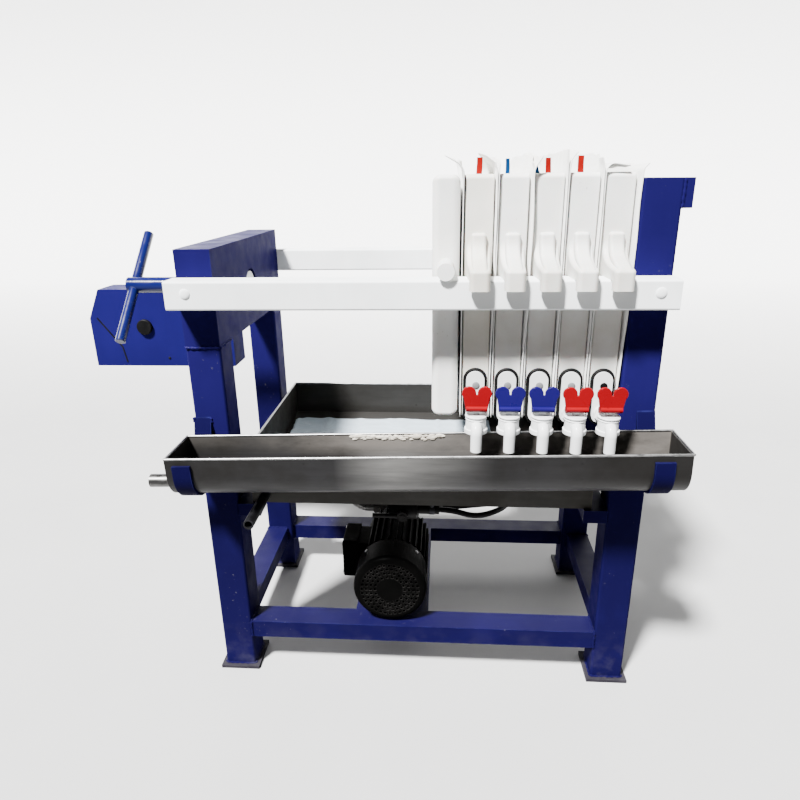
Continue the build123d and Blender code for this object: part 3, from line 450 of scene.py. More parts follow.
def lathe(bm, profile, origin, axis, sides=24, turn=0.0):
    """Revolve (radius, distance along) points round an axis."""
    spin = Matrix.Translation(origin) @ turning(axis)
    rings = []
    for radius, along in profile:
        ring = []
        for step in range(sides):
            angle = turn + math.tau * step / sides
            ring.append(bm.verts.new(spin @ Vector((radius * math.cos(angle), radius * math.sin(angle), along))))
        rings.append(ring)
    join(bm, rings)


def tube(bm, points, radius, sides=8, closed=False):
    """Round bar along points. radius is one length, or one for each point."""
    count = len(points)
    radii = radius if isinstance(radius, list) else [radius] * count
    rings = []
    for index, point in enumerate(points):
        ahead = points[(index + 1) % count] if closed or index < count - 1 else point
        behind = points[index - 1] if closed or index else point
        spin = turning((ahead - behind).normalized())
        ring = []
        for step in range(sides):
            angle = math.tau * step / sides
            offset = Vector((math.cos(angle), math.sin(angle), 0)) * radii[index]
            ring.append(bm.verts.new(point + spin @ offset))
        rings.append(ring)
    join(bm, rings, closed)


def hex_bolt(bm, origin, axis, size):
    """Hexagon head on a washer, with a domed top. size is the washer's radius."""
    lathe(bm, [(size, 0), (size, 0.16 * size), (0.94 * size, 0.22 * size)], origin, axis, 24)
    head = origin + axis * (0.2 * size)
    lathe(bm, [(0.8 * size, 0), (0.8 * size, 0.6 * size), (0.66 * size, 0.72 * size)], head, axis, 6, 0.3)


def dome(bm, origin, axis, radius, height, sides=20):
    """Low round head."""
    steps = [(1.0, 0.0), (1.0, 0.25), (0.86, 0.62), (0.55, 0.9), (0.15, 1.0)]
    lathe(bm, [(radius * r, height * h) for r, h in steps], origin, axis, sides)


def weld(bm, start, end, size):
    """Rippled weld bead along a seam."""
    run = end - start
    count = max(6, int(run.length / (0.45 * size)))
    points = []
    radii = []
    for index in range(count + 1):
        share = index / count
        wander = noise.noise_vector((start + run * share) * 160) * 0.16 * size
        points.append(start + run * share + wander)
        ripple = 0.84 + 0.16 * math.sin(index * 1.7)
        radii.append(size * 0.5 * ripple * (0.55 if index in (0, count) else 1.0))
    tube(bm, points, radii, 7)


def smooth_step(low, high, value):
    """Eased rise from nought at low to one at high."""
    share = min(1.0, max(0.0, (value - low) / (high - low)))
    return share * share * (3 - 2 * share)


def mid(low, high):
    """Halfway point."""
    return (low + high) / 2


# Camera at the photograph's viewing angle

CAMERA_AT = Vector((162.7, -976.75, 774.3)) * MM
CAMERA_YAW = math.radians(-4.17)
CAMERA_DOWN = math.radians(19.52)
CAMERA_ROLL = math.radians(-0.89)
SENSOR_WIDTH = 36
FOCAL_LENGTH = 28.08
forward = Vector((
    math.sin(CAMERA_YAW) * math.cos(CAMERA_DOWN),
    math.cos(CAMERA_YAW) * math.cos(CAMERA_DOWN),
    -math.sin(CAMERA_DOWN),
))
level_right = Vector((math.cos(CAMERA_YAW), -math.sin(CAMERA_YAW), 0))
level_up = level_right.cross(forward)
camera_right = level_right * math.cos(CAMERA_ROLL) + level_up * math.sin(CAMERA_ROLL)
camera_up = -level_right * math.sin(CAMERA_ROLL) + level_up * math.cos(CAMERA_ROLL)
camera_data = bpy.data.cameras.new("camera")
camera_data.sensor_width = SENSOR_WIDTH
camera_data.lens = FOCAL_LENGTH
camera = bpy.data.objects.new("camera", camera_data)
turn = Matrix((camera_right, camera_up, -forward)).transposed().to_4x4()
camera.matrix_world = Matrix.Translation(CAMERA_AT) @ turn
bpy.context.scene.collection.objects.link(camera)
bpy.context.scene.camera = camera


# Hose from the valve's tail to the pump's tail

HOSE_DIAMETER = 9 * MM
HOSE_POINTS = [
    (158.5, -116.75, 288), (178.5, -116.75, 288), (216.5, -116.75, 276), (257.5, -90.75, 276), (274.5, -43.75, 266),
    (275.5, -2.75, 244), (267.5, 34.25, 220), (248.5, 70.25, 196), (218.5, 92.25, 180), (190.5, 100.25, 172),
    (164.5, 100.25, 172),
]
hose_curve = bpy.data.curves.new("hose", "CURVE")
hose_curve.dimensions = "3D"
hose_curve.bevel_depth = HOSE_DIAMETER / 2
hose_curve.bevel_resolution = 6
hose_curve.use_fill_caps = True
hose_spline = hose_curve.splines.new("NURBS")
hose_spline.points.add(len(HOSE_POINTS) - 1)
for control, place in zip(hose_spline.points, HOSE_POINTS):
    control.co = (*(value * MM for value in place), 1)
hose_spline.order_u = 3
hose_spline.use_endpoint_u = True
hose_spline.resolution_u = 10
hose_curve.materials.append(finishes["hose_rubber"])
hose = bpy.data.objects.new("hose", hose_curve)
bpy.context.scene.collection.objects.link(hose)
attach(hose, "frame")
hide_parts("drain_hose")


# Filter cloths, two to a plate, with their tops standing or folded over the plates

CLOTH_THICK = 1.2 * MM
CLOTH_GAP = 0.5 * MM
CLOTH_ROWS = 46
FLAP_ROWS = 16
CLOTH_COLUMNS = 64
FRONT_EDGE = 18 * MM
REAR_EDGE = 14 * MM
BOW_RISE = 190 * MM
FLAP_PLACES = (0.0, 0.16, 0.45)
FLAP_CURL = 0.5
FLAP_STRAIGHT = 0.02
# For each sheet, left then right: the bend of its top to the right in degrees and its length over the plate in mm, at
# the front corner, a little behind it and over the rest. Then how far its front edge stands proud and spreads, in mm
CLOTH_TOPS = [
    (((-62, 35), (-30, 19), (-12, 22), 2.0, 1.5), ((-12, 13), (-58, 34), (-18, 26), 3.5, 2.0)),
    (((8, 12), (14, 17), (10, 24), 1.5, 0.6), ((36, 21), (30, 26), (14, 27), 6.0, 4.2)),
    (((-16, 13), (6, 22), (4, 25), 1.0, 0.6), ((4, 27), (8, 27), (-6, 26), 2.5, 1.2)),
    (((16, 13), (46, 32), (20, 27), 1.0, 0.6), ((-14, 18), (10, 24), (6, 26), 2.5, 1.2)),
    (((97, 38), (97, 37), (94, 34), 1.5, 0.6), ((44, 12), (34, 11), (16, 10), 5.0, 3.6)),
]


def flap_at(tops, along):
    """Bend and length of a sheet's top at a share of its depth."""
    first, second, rest = tops
    near = smooth_step(FLAP_PLACES[0], FLAP_PLACES[1], along)
    far = smooth_step(FLAP_PLACES[1], FLAP_PLACES[2], along)
    return [a + (b - a) * near + (c - b) * far for a, b, c in zip(first, second, rest)]


def flap_point(bend, length, share):
    """Offset across and up at a share of a flap that curls first and then runs straight."""
    turned = bend if abs(bend) > FLAP_STRAIGHT else FLAP_STRAIGHT
    radius = FLAP_CURL * length / turned
    angle = turned * min(1.0, share / FLAP_CURL)
    straight = max(0.0, share - FLAP_CURL) * length
    across = radius * (1 - math.cos(angle)) + straight * math.sin(turned)
    return across, radius * math.sin(angle) + straight * math.cos(turned)


def cloth_sheet(number, side, front, behind, rest, proud, spread):
    """One cloth on a plate's face: slack over the plate, proud at its front edge and folded at its top."""
    low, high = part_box(f"filter_cloth_{number}")
    plate_low, plate_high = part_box(f"filter_plate_{number}")
    face = plate_high.x if side > 0 else plate_low.x
    seed = number * 7.3 + side * 2.1
    bm = bmesh.new()
    grid = []
    for row in range(CLOTH_ROWS + FLAP_ROWS + 1):
        line = []
        for column in range(CLOTH_COLUMNS + 1):
            along = column / CLOTH_COLUMNS
            y = low.y + (high.y - low.y) * along
            z = low.z + (plate_high.z - low.z) * min(1.0, row / CLOTH_ROWS)
            share = max(0.0, (row - CLOTH_ROWS) / FLAP_ROWS)
            bend, length = flap_at((front, behind, rest), along)
            bend += ripple(16, y * 17, seed, 9.2)
            length += ripple(4, y * 14, seed, 1.7) + ripple(2.4, y * 60, seed, 4.1)
            across, up = flap_point(math.radians(bend), length * MM, share)
            near = smooth_step(low.y + FRONT_EDGE, low.y, y)
            edge = near + smooth_step(high.y - REAR_EDGE, high.y, y)
            slack = 0.7 + ripple(0.7, y * 11, z * 8, seed)
            wave = 0.75 + ripple(0.5, z * 15, seed * 3.1, 0.3)
            bow = smooth_step(plate_low.z, plate_low.z + BOW_RISE, z) * wave
            out = CLOTH_GAP + CLOTH_THICK / 2 + (slack + edge * spread * bow) * MM
            fold = ripple(1.6, y * 70, z * 20, seed) * share * MM
            forward_by = (1.0 + proud * bow + ripple(1.6, z * 17, seed, 6.6)) * MM
            place = Vector((face + side * out + across + fold, y - forward_by * near, z + up))
            line.append(bm.verts.new(place))
        grid.append(line)
    weave(bm, grid)
    hand = "right" if side > 0 else "left"
    made = piece(f"cloth_{number}_{hand}", bm, f"plate_{number}", "cloth", sharp=math.pi)
    thicken = made.modifiers.new("thickness", "SOLIDIFY")
    thicken.thickness = CLOTH_THICK
    thicken.offset = 0
    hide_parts(f"filter_cloth_{number}")


for number in range(1, PLATE_COUNT + 1):
    left_top, right_top = CLOTH_TOPS[number - 1]
    cloth_sheet(number, -1, *left_top)
    cloth_sheet(number, 1, *right_top)


# Marker tags stuck in the tops of the plates

tag_finishes = {
    "tap_red": moulded("tag_red", (0.20, 0.0012, 0.0004), (0.13, 0.001, 0.0004), 0.5, 0.5, lever_plastic),
    "tap_blue": moulded("tag_blue", (0.001, 0.026, 0.095), (0.001, 0.016, 0.06), 0.5, 0.5, lever_plastic),
}
TAG_THICK = 1.4 * MM
TAG_FOOT = 2 * MM
TAG_BEND = 1.2 * MM
TAG_ROWS = 10
TAG_SOFT_EDGE = 0.3 * MM
# Plate, slot, place across and along the plate's top, width and height in mm, and taper
TAGS = [
    (1, "tap_red", -1.3, 15, 7.6, 22, 0.06),
    (2, "tap_blue", -9.4, 15, 5.5, 20, 0.10),
    (3, "tap_red", -2.0, 15, 7.0, 20, 0.08),
    (4, "tap_red", -5.0, 15, 7.6, 22, 0.04),
    (3, "tap_blue", -12.5, 35, 9.5, 11, 0.92),
]


def marker_tag(index, number, slot, across, along, width, height, taper):
    """Bent strip with its foot in the plate's top edge."""
    plate_low, plate_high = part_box(f"filter_plate_{number}")
    cloth_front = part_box(f"filter_cloth_{number}")[0].y
    foot = Vector((mid(plate_low.x, plate_high.x) + across * MM, cloth_front + along * MM, plate_high.z - TAG_FOOT))
    bm = bmesh.new()
    rings = []
    for row in range(TAG_ROWS + 1):
        share = row / TAG_ROWS
        bend = math.sin(share * 2.0 + index) * TAG_BEND
        half = width / 2 * (1 - taper * share) * MM
        z = foot.z + height * share * MM
        corners = ((-half, -0.5), (half, -0.5), (half, 0.5), (-half, 0.5))
        rings.append([bm.verts.new((foot.x + x + bend * 0.6, foot.y + y * TAG_THICK + bend, z)) for x, y in corners])
    join(bm, rings)
    made = piece(f"marker_tag_{index + 1}", bm, f"plate_{number}", slot, tag_finishes[slot])
    soft = made.modifiers.new("soft_edges", "BEVEL")
    soft.width = TAG_SOFT_EDGE
    soft.segments = 2


for index, tag in enumerate(TAGS):
    marker_tag(index, *tag)


# Tap seals, screws and collars

FLANGE_HALF_WIDTH = 12.5 * MM
FLANGE_TOP_DROP = 20 * MM
FLANGE_THICK = 8 * MM
FLANGE_HEIGHT = 74 * MM
FLANGE_BELOW = 5 * MM
BARREL_RADIUS = 13.2 * MM
BARREL_HEIGHT = 26 * MM
BARREL_OUT = 51.5 * MM
TAP_DROP = 2.5 * MM
SEAL_RADIUS = 3.0 * MM
SEAL_OUT = 1.2 * MM
SEAL_PROUD = 2.6 * MM
SCREW_RIGHT = 1 * MM
SCREW_RADIUS = 5.2 * MM
SCREW_HEIGHT = 1.6 * MM
UNION_NUT = [(10.5 * MM, 6 * MM), (11.6 * MM, 7 * MM), (11.6 * MM, 13 * MM), (10.5 * MM, 14 * MM)]
UNION_TURN = 0.26
STEM_COLLAR = [(10 * MM, 0), (10 * MM, 3 * MM), (8.4 * MM, 4.5 * MM)]
# Drop from the barrel's top, how far the ring stands out and its thickness, in mm
BARREL_RINGS = ((2.0, 0.9, 1.4), (6, 0.5, 0.8))


def capsule_loop(centre, half_width, half_height, steps=14):
    """Points round an upright capsule seen from the front."""
    points = []
    for sign, start in ((1, 0.0), (-1, math.pi)):
        for step in range(steps + 1):
            angle = start + math.pi * step / steps
            offset = Vector((math.cos(angle), 0, math.sin(angle))) * half_width
            points.append(centre + offset + UP * sign * (half_height - half_width))
    return points


screw_grey = moulded("screw_grey", (0.13, 0.13, 0.135), (0.07, 0.07, 0.07), 0.5, 0.5, lever_plastic)


def tap_fittings(number):
    """Black seal round the flange, its screw, a union nut and collar on the stem and rings on the barrel."""
    plate_low, plate_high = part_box(f"filter_plate_{number}")
    body = f"plate_{number}"
    x = mid(plate_low.x, plate_high.x)
    face_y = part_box(f"tap_{number}")[1].y
    plate_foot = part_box(f"filter_cloth_{number}")[0].z
    flange_mid = plate_foot - FLANGE_BELOW + FLANGE_HEIGHT / 2
    barrel_foot = plate_foot - TAP_DROP
    stem_z = barrel_foot + BARREL_HEIGHT / 2

    seal = bmesh.new()
    seal_mid = Vector((x, face_y - SEAL_PROUD, flange_mid))
    seal_loop = capsule_loop(seal_mid, FLANGE_HALF_WIDTH + SEAL_OUT, FLANGE_HEIGHT / 2 + SEAL_OUT)
    tube(seal, seal_loop, SEAL_RADIUS, 10, True)
    piece(f"tap_seal_{number}", seal, body, "hose_rubber")

    screw = bmesh.new()
    flange_y = face_y - FLANGE_THICK
    screw_at = Vector((x + SCREW_RIGHT, flange_y, flange_mid + FLANGE_HEIGHT / 2 - FLANGE_TOP_DROP))
    dome(screw, screw_at, FRONT, SCREW_RADIUS, SCREW_HEIGHT, 28)
    # On the last plate the screw is black: painted shade of a hole.
    last = number == PLATE_COUNT
    piece(f"tap_screw_{number}", screw, body, "hose_rubber" if last else "pad_steel", None if last else screw_grey)

    rings = bmesh.new()
    stem_start = Vector((x, flange_y, stem_z))
    lathe(rings, UNION_NUT, stem_start, FRONT, 6, UNION_TURN)
    lathe(rings, STEM_COLLAR, stem_start, FRONT, 28)
    barrel = Vector((x, face_y - BARREL_OUT, barrel_foot))
    for drop, out, thick in BARREL_RINGS:
        ring_radius = BARREL_RADIUS + (out - thick / 2) * MM
        tube(rings, circle(barrel + UP * (BARREL_HEIGHT / MM - drop) * MM, ring_radius, 36), thick * MM, 8, True)
    piece(f"tap_rings_{number}", rings, body, "tap_plastic")


for number in range(1, PLATE_COUNT + 1):
    tap_fittings(number)


# Bolts through the rails, painted over

RAIL_BOLT_RADIUS = 7 * MM
RAIL_BOLT_HEIGHT = 2 * MM
RAIL_BOLT_RAISED = 3 * MM
rail_bolts = bmesh.new()
front_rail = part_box("front_side_rail")
rear_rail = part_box("rear_side_rail")
left_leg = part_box("front_left_leg")
right_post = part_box("front_right_post")
for leg in (left_leg, right_post):
    leg_x = mid(leg[0].x, leg[1].x)
    for rail, y, axis in ((front_rail, front_rail[0].y, FRONT), (rear_rail, rear_rail[1].y, -FRONT)):
        rail_z = mid(rail[0].z, rail[1].z) + RAIL_BOLT_RAISED
        dome(rail_bolts, Vector((leg_x, y, rail_z)), axis, RAIL_BOLT_RADIUS, RAIL_BOLT_HEIGHT, 28)
piece("rail_bolts", rail_bolts, "frame", "rail_paint")


# Hems along the gutter's and the tray's rims

GUTTER_FALL = math.radians(1.5)
HEM_RADIUS = 1.7 * MM
HEM_STEPS = 12
gutter_low, gutter_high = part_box("collecting_gutter")
tray_low, tray_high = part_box("drip_tray")


def gutter_rim(x):
    """Height of the gutter's rim at x."""
    return gutter_high.z - (gutter_high.x - x) * math.tan(GUTTER_FALL)


def tray_rim(x):
    """Height of the tray's rim, the same everywhere."""
    return tray_high.z


def hem_loop(low, high, height_at, inset):
    """Corners of a rim, wound once round."""
    corners = ((low.x, low.y), (high.x, low.y), (high.x, high.y), (low.x, high.y))
    middle = Vector((mid(low.x, high.x), mid(low.y, high.y), 0))
    loop = []
    for x, y in corners:
        inward = Vector((math.copysign(inset, middle.x - x), math.copysign(inset, middle.y - y), 0))
        loop.append(Vector((x, y, height_at(x))) + inward)
    return loop


def hem(name, low, high, height_at, slot):
    """Rolled edge in four straight lengths."""
    corners = hem_loop(low, high, height_at, HEM_RADIUS * 0.6)
    bm = bmesh.new()
    for start, end in zip(corners, corners[1:] + corners[:1]):
        tube(bm, [start + (end - start) * step / HEM_STEPS for step in range(HEM_STEPS + 1)], HEM_RADIUS, 10)
    piece(name, bm, "frame", slot, rim_steel)


rim_steel = turned_metal("rim_steel", (0.30, 0.30, 0.30), (0.10, 0.097, 0.093), 0.36)
hem("gutter_hem", gutter_low, gutter_high, gutter_rim, "gutter_steel")
hem("tray_hem", tray_low, tray_high, tray_rim, "tray_steel")


# Pressed cake left on the gutter's rear wall

cake_stain = moulded("press_cake", (0.52, 0.48, 0.41), (0.13, 0.09, 0.06), 2.2, 0.75, {"Specular IOR Level": 0.15})
CAKE_SPAN = (34 * MM, 160 * MM)
CAKE_LUMPS = 90
CAKE_OFF_WALL = 2.6 * MM
LUMP_SHAPE = (2.0, 0.42, 1.0)
LUMP_ROUGH = 0.35
cake = bmesh.new()
for index in range(CAKE_LUMPS):
    share = (index + 0.5) / CAKE_LUMPS
    drift = noise.noise_vector(Vector((index * 2.37, 2.2, 5.1)))
    x = CAKE_SPAN[0] + (CAKE_SPAN[1] - CAKE_SPAN[0]) * share + drift.x * 6 * MM
    size = (0.9 + 3.2 * abs(drift.y)) * MM
    centre = Vector((x, gutter_high.y - CAKE_OFF_WALL, gutter_rim(x) - (2 + 12 * abs(drift.z)) * MM))
    lump = bmesh.ops.create_icosphere(cake, subdivisions=2, radius=1)["verts"]
    for vert in lump:
        push = 1 + ripple(LUMP_ROUGH, *(vert.co * 1.6 + Vector((index, 0, 0))))
        vert.co = centre + vert.co * Vector(LUMP_SHAPE) * size * push
piece("press_cake", cake, "frame", "cloth", cake_stain)


# Rumpled cloth lying on the tray's floor

TRAY_SHEET = 2 * MM
TRAY_REAR_DEPTH = 60 * MM
RAG_THICK = 0.9 * MM
rag_finish = woven("rag", (0.33, 0.395, 0.45), (0.25, 0.30, 0.34), 0.5, RAG_THICK)
RAG_SIZE = (366 * MM, 132 * MM)
RAG_MIDDLE = (67 * MM, 68 * MM)
RAG_ROUND = 24 * MM
RAG_CREASED = 130 * MM
RAG_COLUMNS = 84
RAG_ROWS = 40


def tray_floor(y):
    """Height of the tray's floor, inside."""
    front = tray_low.z + TRAY_SHEET
    rear = tray_high.z - TRAY_REAR_DEPTH + TRAY_SHEET
    return front + (rear - front) * (y - tray_low.y) / (tray_high.y - tray_low.y)


def rag_height(x, y):
    """Creases of a cloth dropped flat, over the floor."""
    ridge = 1 - abs(ripple(2.4, x * 26, y * 9, 3.3))
    cross = 1 - abs(ripple(2.6, x * 12, y * 30, 7.9))
    left_end = RAG_MIDDLE[0] - RAG_SIZE[0] / 2
    folds = 0.3 + 0.9 * smooth_step(left_end + RAG_CREASED, left_end, x)
    return (1.2 + folds * (5.5 * max(0, ridge) ** 3 + 3 * max(0, cross) ** 3)) * MM


def rag_width(u):
    """Share of the full width at a share of the length, with the left end rounded."""
    inside = (u + 0.5) * RAG_SIZE[0]
    if inside >= RAG_ROUND:
        return 1.0
    lost = RAG_ROUND - math.sqrt(max(0.0, RAG_ROUND ** 2 - (RAG_ROUND - inside) ** 2))
    return 1 - 2 * lost * 0.8 / RAG_SIZE[1]


rag = bmesh.new()
rag_grid = []
for row in range(RAG_ROWS + 1):
    line = []
    for column in range(RAG_COLUMNS + 1):
        u = column / RAG_COLUMNS - 0.5
        v = row / RAG_ROWS - 0.5
        x = RAG_MIDDLE[0] + RAG_SIZE[0] * u
        y = RAG_MIDDLE[1] + RAG_SIZE[1] * v * rag_width(u)
        x += ripple(3, y * 20, 1.1, 8.8) * MM
        y += ripple(3, x * 14, 4.4, 2.2) * MM
        line.append(rag.verts.new((x, y, tray_floor(y) + rag_height(x, y))))
    rag_grid.append(line)
weave(rag, rag_grid)
rag_piece = piece("tray_rag", rag, "frame", "cloth", rag_finish, math.pi)
rag_thick = rag_piece.modifiers.new("thickness", "SOLIDIFY")
rag_thick.thickness = RAG_THICK
rag_thick.offset = 0


# Seam and screw of the switch box; the seam is a black strip, painted shade of its groove

box_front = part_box("switch_box")[0].y
# Places on the box's front, across and up in mm
SEAM = [(-616, 536), (-575, 480), (-569, 446)]
BOX_SCREW = (-486, 458.5)
SEAM_STEPS = 8
SEAM_RADIUS = 2.2 * MM
SEAM_SUNK = 1.4 * MM
FRAME_X = 128.5
seam_bm = bmesh.new()
seam_points = []
for start, end in zip(SEAM, SEAM[1:]):
    for step in range(SEAM_STEPS):
        x = start[0] + (end[0] - start[0]) * step / SEAM_STEPS
        z = start[1] + (end[1] - start[1]) * step / SEAM_STEPS
        seam_points.append(Vector(((x + FRAME_X) * MM, box_front + SEAM_SUNK, z * MM)))
tube(seam_bm, seam_points, SEAM_RADIUS, 12)
screw_at = Vector(((BOX_SCREW[0] + FRAME_X) * MM, box_front, BOX_SCREW[1] * MM))
dome(seam_bm, screw_at, FRONT, 2.6 * MM, 1.4 * MM)
piece("box_seam", seam_bm, "frame", "knob_black")


# Motor: fan behind the grille, foot bolts, terminal-box screws and cable gland

cover_low, cover_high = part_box("motor_fan_cover")
motor_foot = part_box("motor_body")[0].z
terminal_low, terminal_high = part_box("motor_terminal_box")
motor_axis = Vector((mid(cover_low.x, cover_high.x), 0, mid(cover_low.z, cover_high.z)))
FAN_BEHIND = 9 * MM
FAN_HUB = [(4 * MM, -3 * MM), (13 * MM, 0), (15 * MM, 18 * MM), (15 * MM, 34 * MM)]
FAN_BLADES = 8
BLADE_ROOT = 14 * MM
BLADE_TIP = 46 * MM
BLADE_SWEEP = 8 * MM
BLADE_DEPTH = 26 * MM
BLADE_HALF_THICK = 0.8 * MM
fan = bmesh.new()
fan_start = Vector((motor_axis.x, cover_low.y + FAN_BEHIND, motor_axis.z))
lathe(fan, FAN_HUB, fan_start, -FRONT, 32)
for blade in range(FAN_BLADES):
    angle = math.tau * blade / FAN_BLADES
    out = Vector((math.cos(angle), 0, math.sin(angle)))
    sweep = Vector((-math.sin(angle), 0, math.cos(angle)))
    root = fan_start + out * BLADE_ROOT
    tip = fan_start + out * BLADE_TIP + sweep * BLADE_SWEEP
    corners = [root, tip, tip - FRONT * BLADE_DEPTH, root - FRONT * BLADE_DEPTH]
    sides = (BLADE_HALF_THICK, -BLADE_HALF_THICK)
    join(fan, [[fan.verts.new(corner + sweep * side) for corner in corners] for side in sides])
piece("motor_fan", fan, "frame", "fan_cover")

FOOT_THICK = 9 * MM
FOOT_BOLTS = (45 * MM, 22 * MM)
FOOT_BOLT_SIZE = 7 * MM
LID_SCREW_INSET = 7 * MM
LID_SCREW = (3.2 * MM, 1.8 * MM)
COVER_SCREWS = 4
COVER_SCREW = (3 * MM, 1.8 * MM)
COVER_SCREW_IN = 8 * MM
COVER_RADIUS = 58.6 * MM
GLAND_NUT = [(10 * MM, -1 * MM), (10 * MM, 5 * MM)]
GLAND_SLEEVE = [(8 * MM, 4 * MM), (8 * MM, 11 * MM), (6 * MM, 14 * MM), (4 * MM, 14.5 * MM)]
motor_bolts = bmesh.new()
foot_y = mid(terminal_low.y, terminal_high.y)
for x in (motor_axis.x - FOOT_BOLTS[0], motor_axis.x + FOOT_BOLTS[0]):
    for y in (foot_y - FOOT_BOLTS[1], foot_y + FOOT_BOLTS[1]):
        hex_bolt(motor_bolts, Vector((x, y, motor_foot + FOOT_THICK)), UP, FOOT_BOLT_SIZE)
for y in (terminal_low.y + LID_SCREW_INSET, terminal_high.y - LID_SCREW_INSET):
    for z in (terminal_low.z + LID_SCREW_INSET, terminal_high.z - LID_SCREW_INSET):
        dome(motor_bolts, Vector((terminal_low.x, y, z)), -RIGHT, *LID_SCREW)
cover_back = Vector((motor_axis.x, cover_high.y - COVER_SCREW_IN, motor_axis.z))
for step in range(COVER_SCREWS):
    angle = math.tau * (step + 0.5) / COVER_SCREWS
    out = Vector((math.cos(angle), 0, math.sin(angle)))
    dome(motor_bolts, cover_back + out * COVER_RADIUS, out, *COVER_SCREW)
piece("motor_bolts", motor_bolts, "frame", "pad_steel")

gland = bmesh.new()
gland_at = Vector((mid(terminal_low.x, terminal_high.x), mid(terminal_low.y, terminal_high.y), terminal_low.z))
lathe(gland, GLAND_NUT, gland_at, -UP, 6)
lathe(gland, GLAND_SLEEVE, gland_at, -UP, 24)
piece("cable_gland", gland, "frame", "knob_black")


# Hose clamps, with their worm screws

CLAMP_OFFSET = -11
CLAMP_BAND = [(7.2 * MM, -4 * MM), (7.9 * MM, -4 * MM), (7.9 * MM, 4 * MM), (7.2 * MM, 4 * MM)]
WORM_SCREW = [(2.6 * MM, -7 * MM), (3.2 * MM, -6 * MM), (3.2 * MM, 6 * MM), (2.2 * MM, 7 * MM)]
WORM_RAISED = 9.6
clamps = bmesh.new()
for x, y, z in (HOSE_POINTS[0], HOSE_POINTS[-1]):
    middle = Vector((x + CLAMP_OFFSET, y, z)) * MM
    lathe(clamps, CLAMP_BAND, middle, RIGHT, 28)
    lathe(clamps, WORM_SCREW, middle + UP * WORM_RAISED * MM, FRONT, 12)
piece("hose_clamps", clamps, "frame", "dark_pipe")


# Weld beads where tubes, hooks and bars meet

BEAD = 5 * MM
HOOK_BEADS = (0.443, 0.451)
HOOK_INNER = 25 * MM
beads = bmesh.new()


def weld_round(low, high, z):
    """Beads round an upright tube at a height: front, back, left and right."""
    sides = (
        ((low.x, low.y), (high.x, low.y)),
        ((low.x, high.y), (high.x, high.y)),
        ((low.x, low.y), (low.x, high.y)),
        ((high.x, low.y), (high.x, high.y)),
    )
    for start, end in sides:
        weld(beads, Vector((*start, z)), Vector((*end, z)), BEAD)


for leg in ("front_left_leg", "rear_left_leg"):
    low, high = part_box(leg)
    weld_round(low, high, high.z)
foot_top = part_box("foot_plates")[1].z
for leg in ("front_left_leg", "rear_left_leg", "front_right_post", "rear_right_post"):
    low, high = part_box(leg)
    weld_round(low, high, foot_top)
for beam in ("front_base_beam", "rear_base_beam"):
    low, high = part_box(beam)
    for x in (low.x, high.x):
        for y in (low.y, high.y):
            weld(beads, Vector((x, y, low.z)), Vector((x, y, high.z)), BEAD)
        weld(beads, Vector((x, low.y, high.z)), Vector((x, high.y, high.z)), BEAD)
for beam in ("left_base_beam", "right_base_beam"):
    low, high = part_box(beam)
    for y in (low.y, high.y):
        for x in (low.x, high.x):
            weld(beads, Vector((x, y, low.z)), Vector((x, y, high.z)), BEAD)
        weld(beads, Vector((low.x, y, high.z)), Vector((high.x, y, high.z)), BEAD)
head_low, head_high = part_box("fixed_head")
for y in (head_low.y, head_high.y):
    weld(beads, Vector((head_low.x, y, head_low.z)), Vector((head_low.x, y, head_high.z)), BEAD)
tie_low, tie_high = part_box("head_tie_bar")
for y in (right_post[0].y, right_post[1].y):
    weld(beads, Vector((tie_low.x, y, tie_low.z)), Vector((tie_low.x, y, tie_high.z)), BEAD)
hook_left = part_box("gutter_hooks")[0].x
for x in (hook_left, left_leg[0].x + HOOK_INNER):
    weld(beads, *(Vector((x, left_leg[0].y, z)) for z in HOOK_BEADS), BEAD)
bead_paint = enamel("bead_paint", BLUE, PRIMER, BLUE, FLOOR_DUST, 0.0)
piece("weld_beads", beads, "frame", "frame_paint", bead_paint)


# Studio: pale floor that curves up into a backdrop, soft sky and one key light from the upper left front

SWEEP_START = 4.0
SWEEP_RADIUS = 3.0
SWEEP_HEIGHT = 9.0
FLOOR_HALF = 30.0
BACKDROP_FROM = 1.0
FLOOR_PALE_TO = -0.42
FLOOR_DULL_FROM = -0.75
PAPER_SHADES = (0.355, 0.375)
PAPER_FAR = 0.72
PAPER_NEAR = 0.05
SWEEP_STEPS = 12


def grey(value):
    """Neutral colour."""
    return (value, value, value)


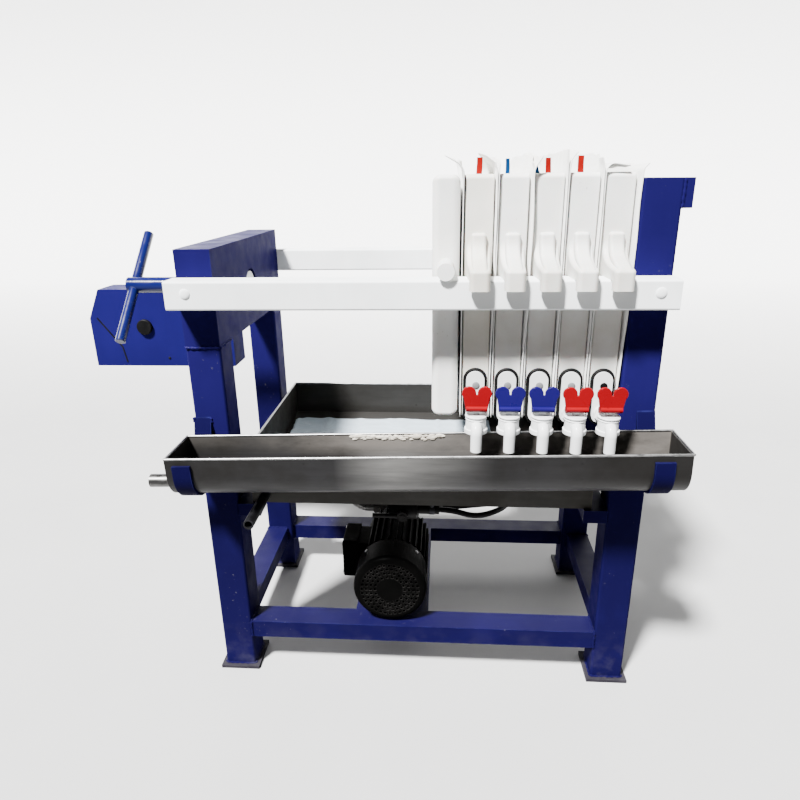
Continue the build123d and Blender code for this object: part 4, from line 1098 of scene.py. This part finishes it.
def pale_paper():
    """Studio paper, lighter towards the backdrop and dull out of view in front, where it would light the shadows."""
    f = Finish("studio_paper", {"Specular IOR Level": 0.2})
    tone = f.mix(f.span(f.noise(3, 4), 0.3, 0.7), *(grey(value) for value in PAPER_SHADES))
    tone = f.mix(f.span(f.along("Y"), BACKDROP_FROM, SWEEP_START), tone, grey(PAPER_FAR))
    tone = f.mix(f.span(f.along("Y"), FLOOR_PALE_TO, FLOOR_DULL_FROM), tone, grey(PAPER_NEAR))
    return f.finish(tone, f.span(f.noise(40, 3), 0.3, 0.7, 0.6, 0.75))


sweep = [(-FLOOR_HALF, 0.0), (SWEEP_START, 0.0)]
for step in range(1, SWEEP_STEPS + 1):
    angle = math.pi / 2 * step / SWEEP_STEPS
    sweep.append((SWEEP_START + SWEEP_RADIUS * math.sin(angle), SWEEP_RADIUS * (1 - math.cos(angle))))
sweep.append((SWEEP_START + SWEEP_RADIUS, SWEEP_HEIGHT))
paper_bm = bmesh.new()
rows = [[paper_bm.verts.new((x, y, z)) for x in (-FLOOR_HALF, FLOOR_HALF)] for y, z in sweep]
for near, far in zip(rows, rows[1:]):
    paper_bm.faces.new((near[0], near[1], far[1], far[0]))
paper_mesh = bpy.data.meshes.new("studio_paper")
paper_bm.to_mesh(paper_mesh)
paper_bm.free()
paper_mesh.shade_smooth()
paper_mesh.materials.append(pale_paper())
paper = bpy.data.objects.new("studio_paper", paper_mesh)
bpy.context.scene.collection.objects.link(paper)

KEY_TRAVEL = Vector((0.38, 0.547, -1.0))
KEY_STRENGTH = 27.0
KEY_SOFTNESS = math.radians(7)
KEY_COLOUR = (1.0, 0.995, 0.985)
SKY_STRENGTH = 0.17
key_data = bpy.data.lights.new("key", "SUN")
key_data.energy = KEY_STRENGTH
key_data.angle = KEY_SOFTNESS
key_data.color = KEY_COLOUR
key = bpy.data.objects.new("key", key_data)
key.rotation_mode = "QUATERNION"
key.rotation_quaternion = Vector((0, 0, -1)).rotation_difference(KEY_TRAVEL.normalized())
bpy.context.scene.collection.objects.link(key)

world = bpy.data.worlds.new("studio")
world.use_nodes = True
sky = world.node_tree.nodes["Background"]
sky.inputs["Color"].default_value = (1.0, 1.0, 1.0, 1.0)
sky.inputs["Strength"].default_value = SKY_STRENGTH
bpy.context.scene.world = world
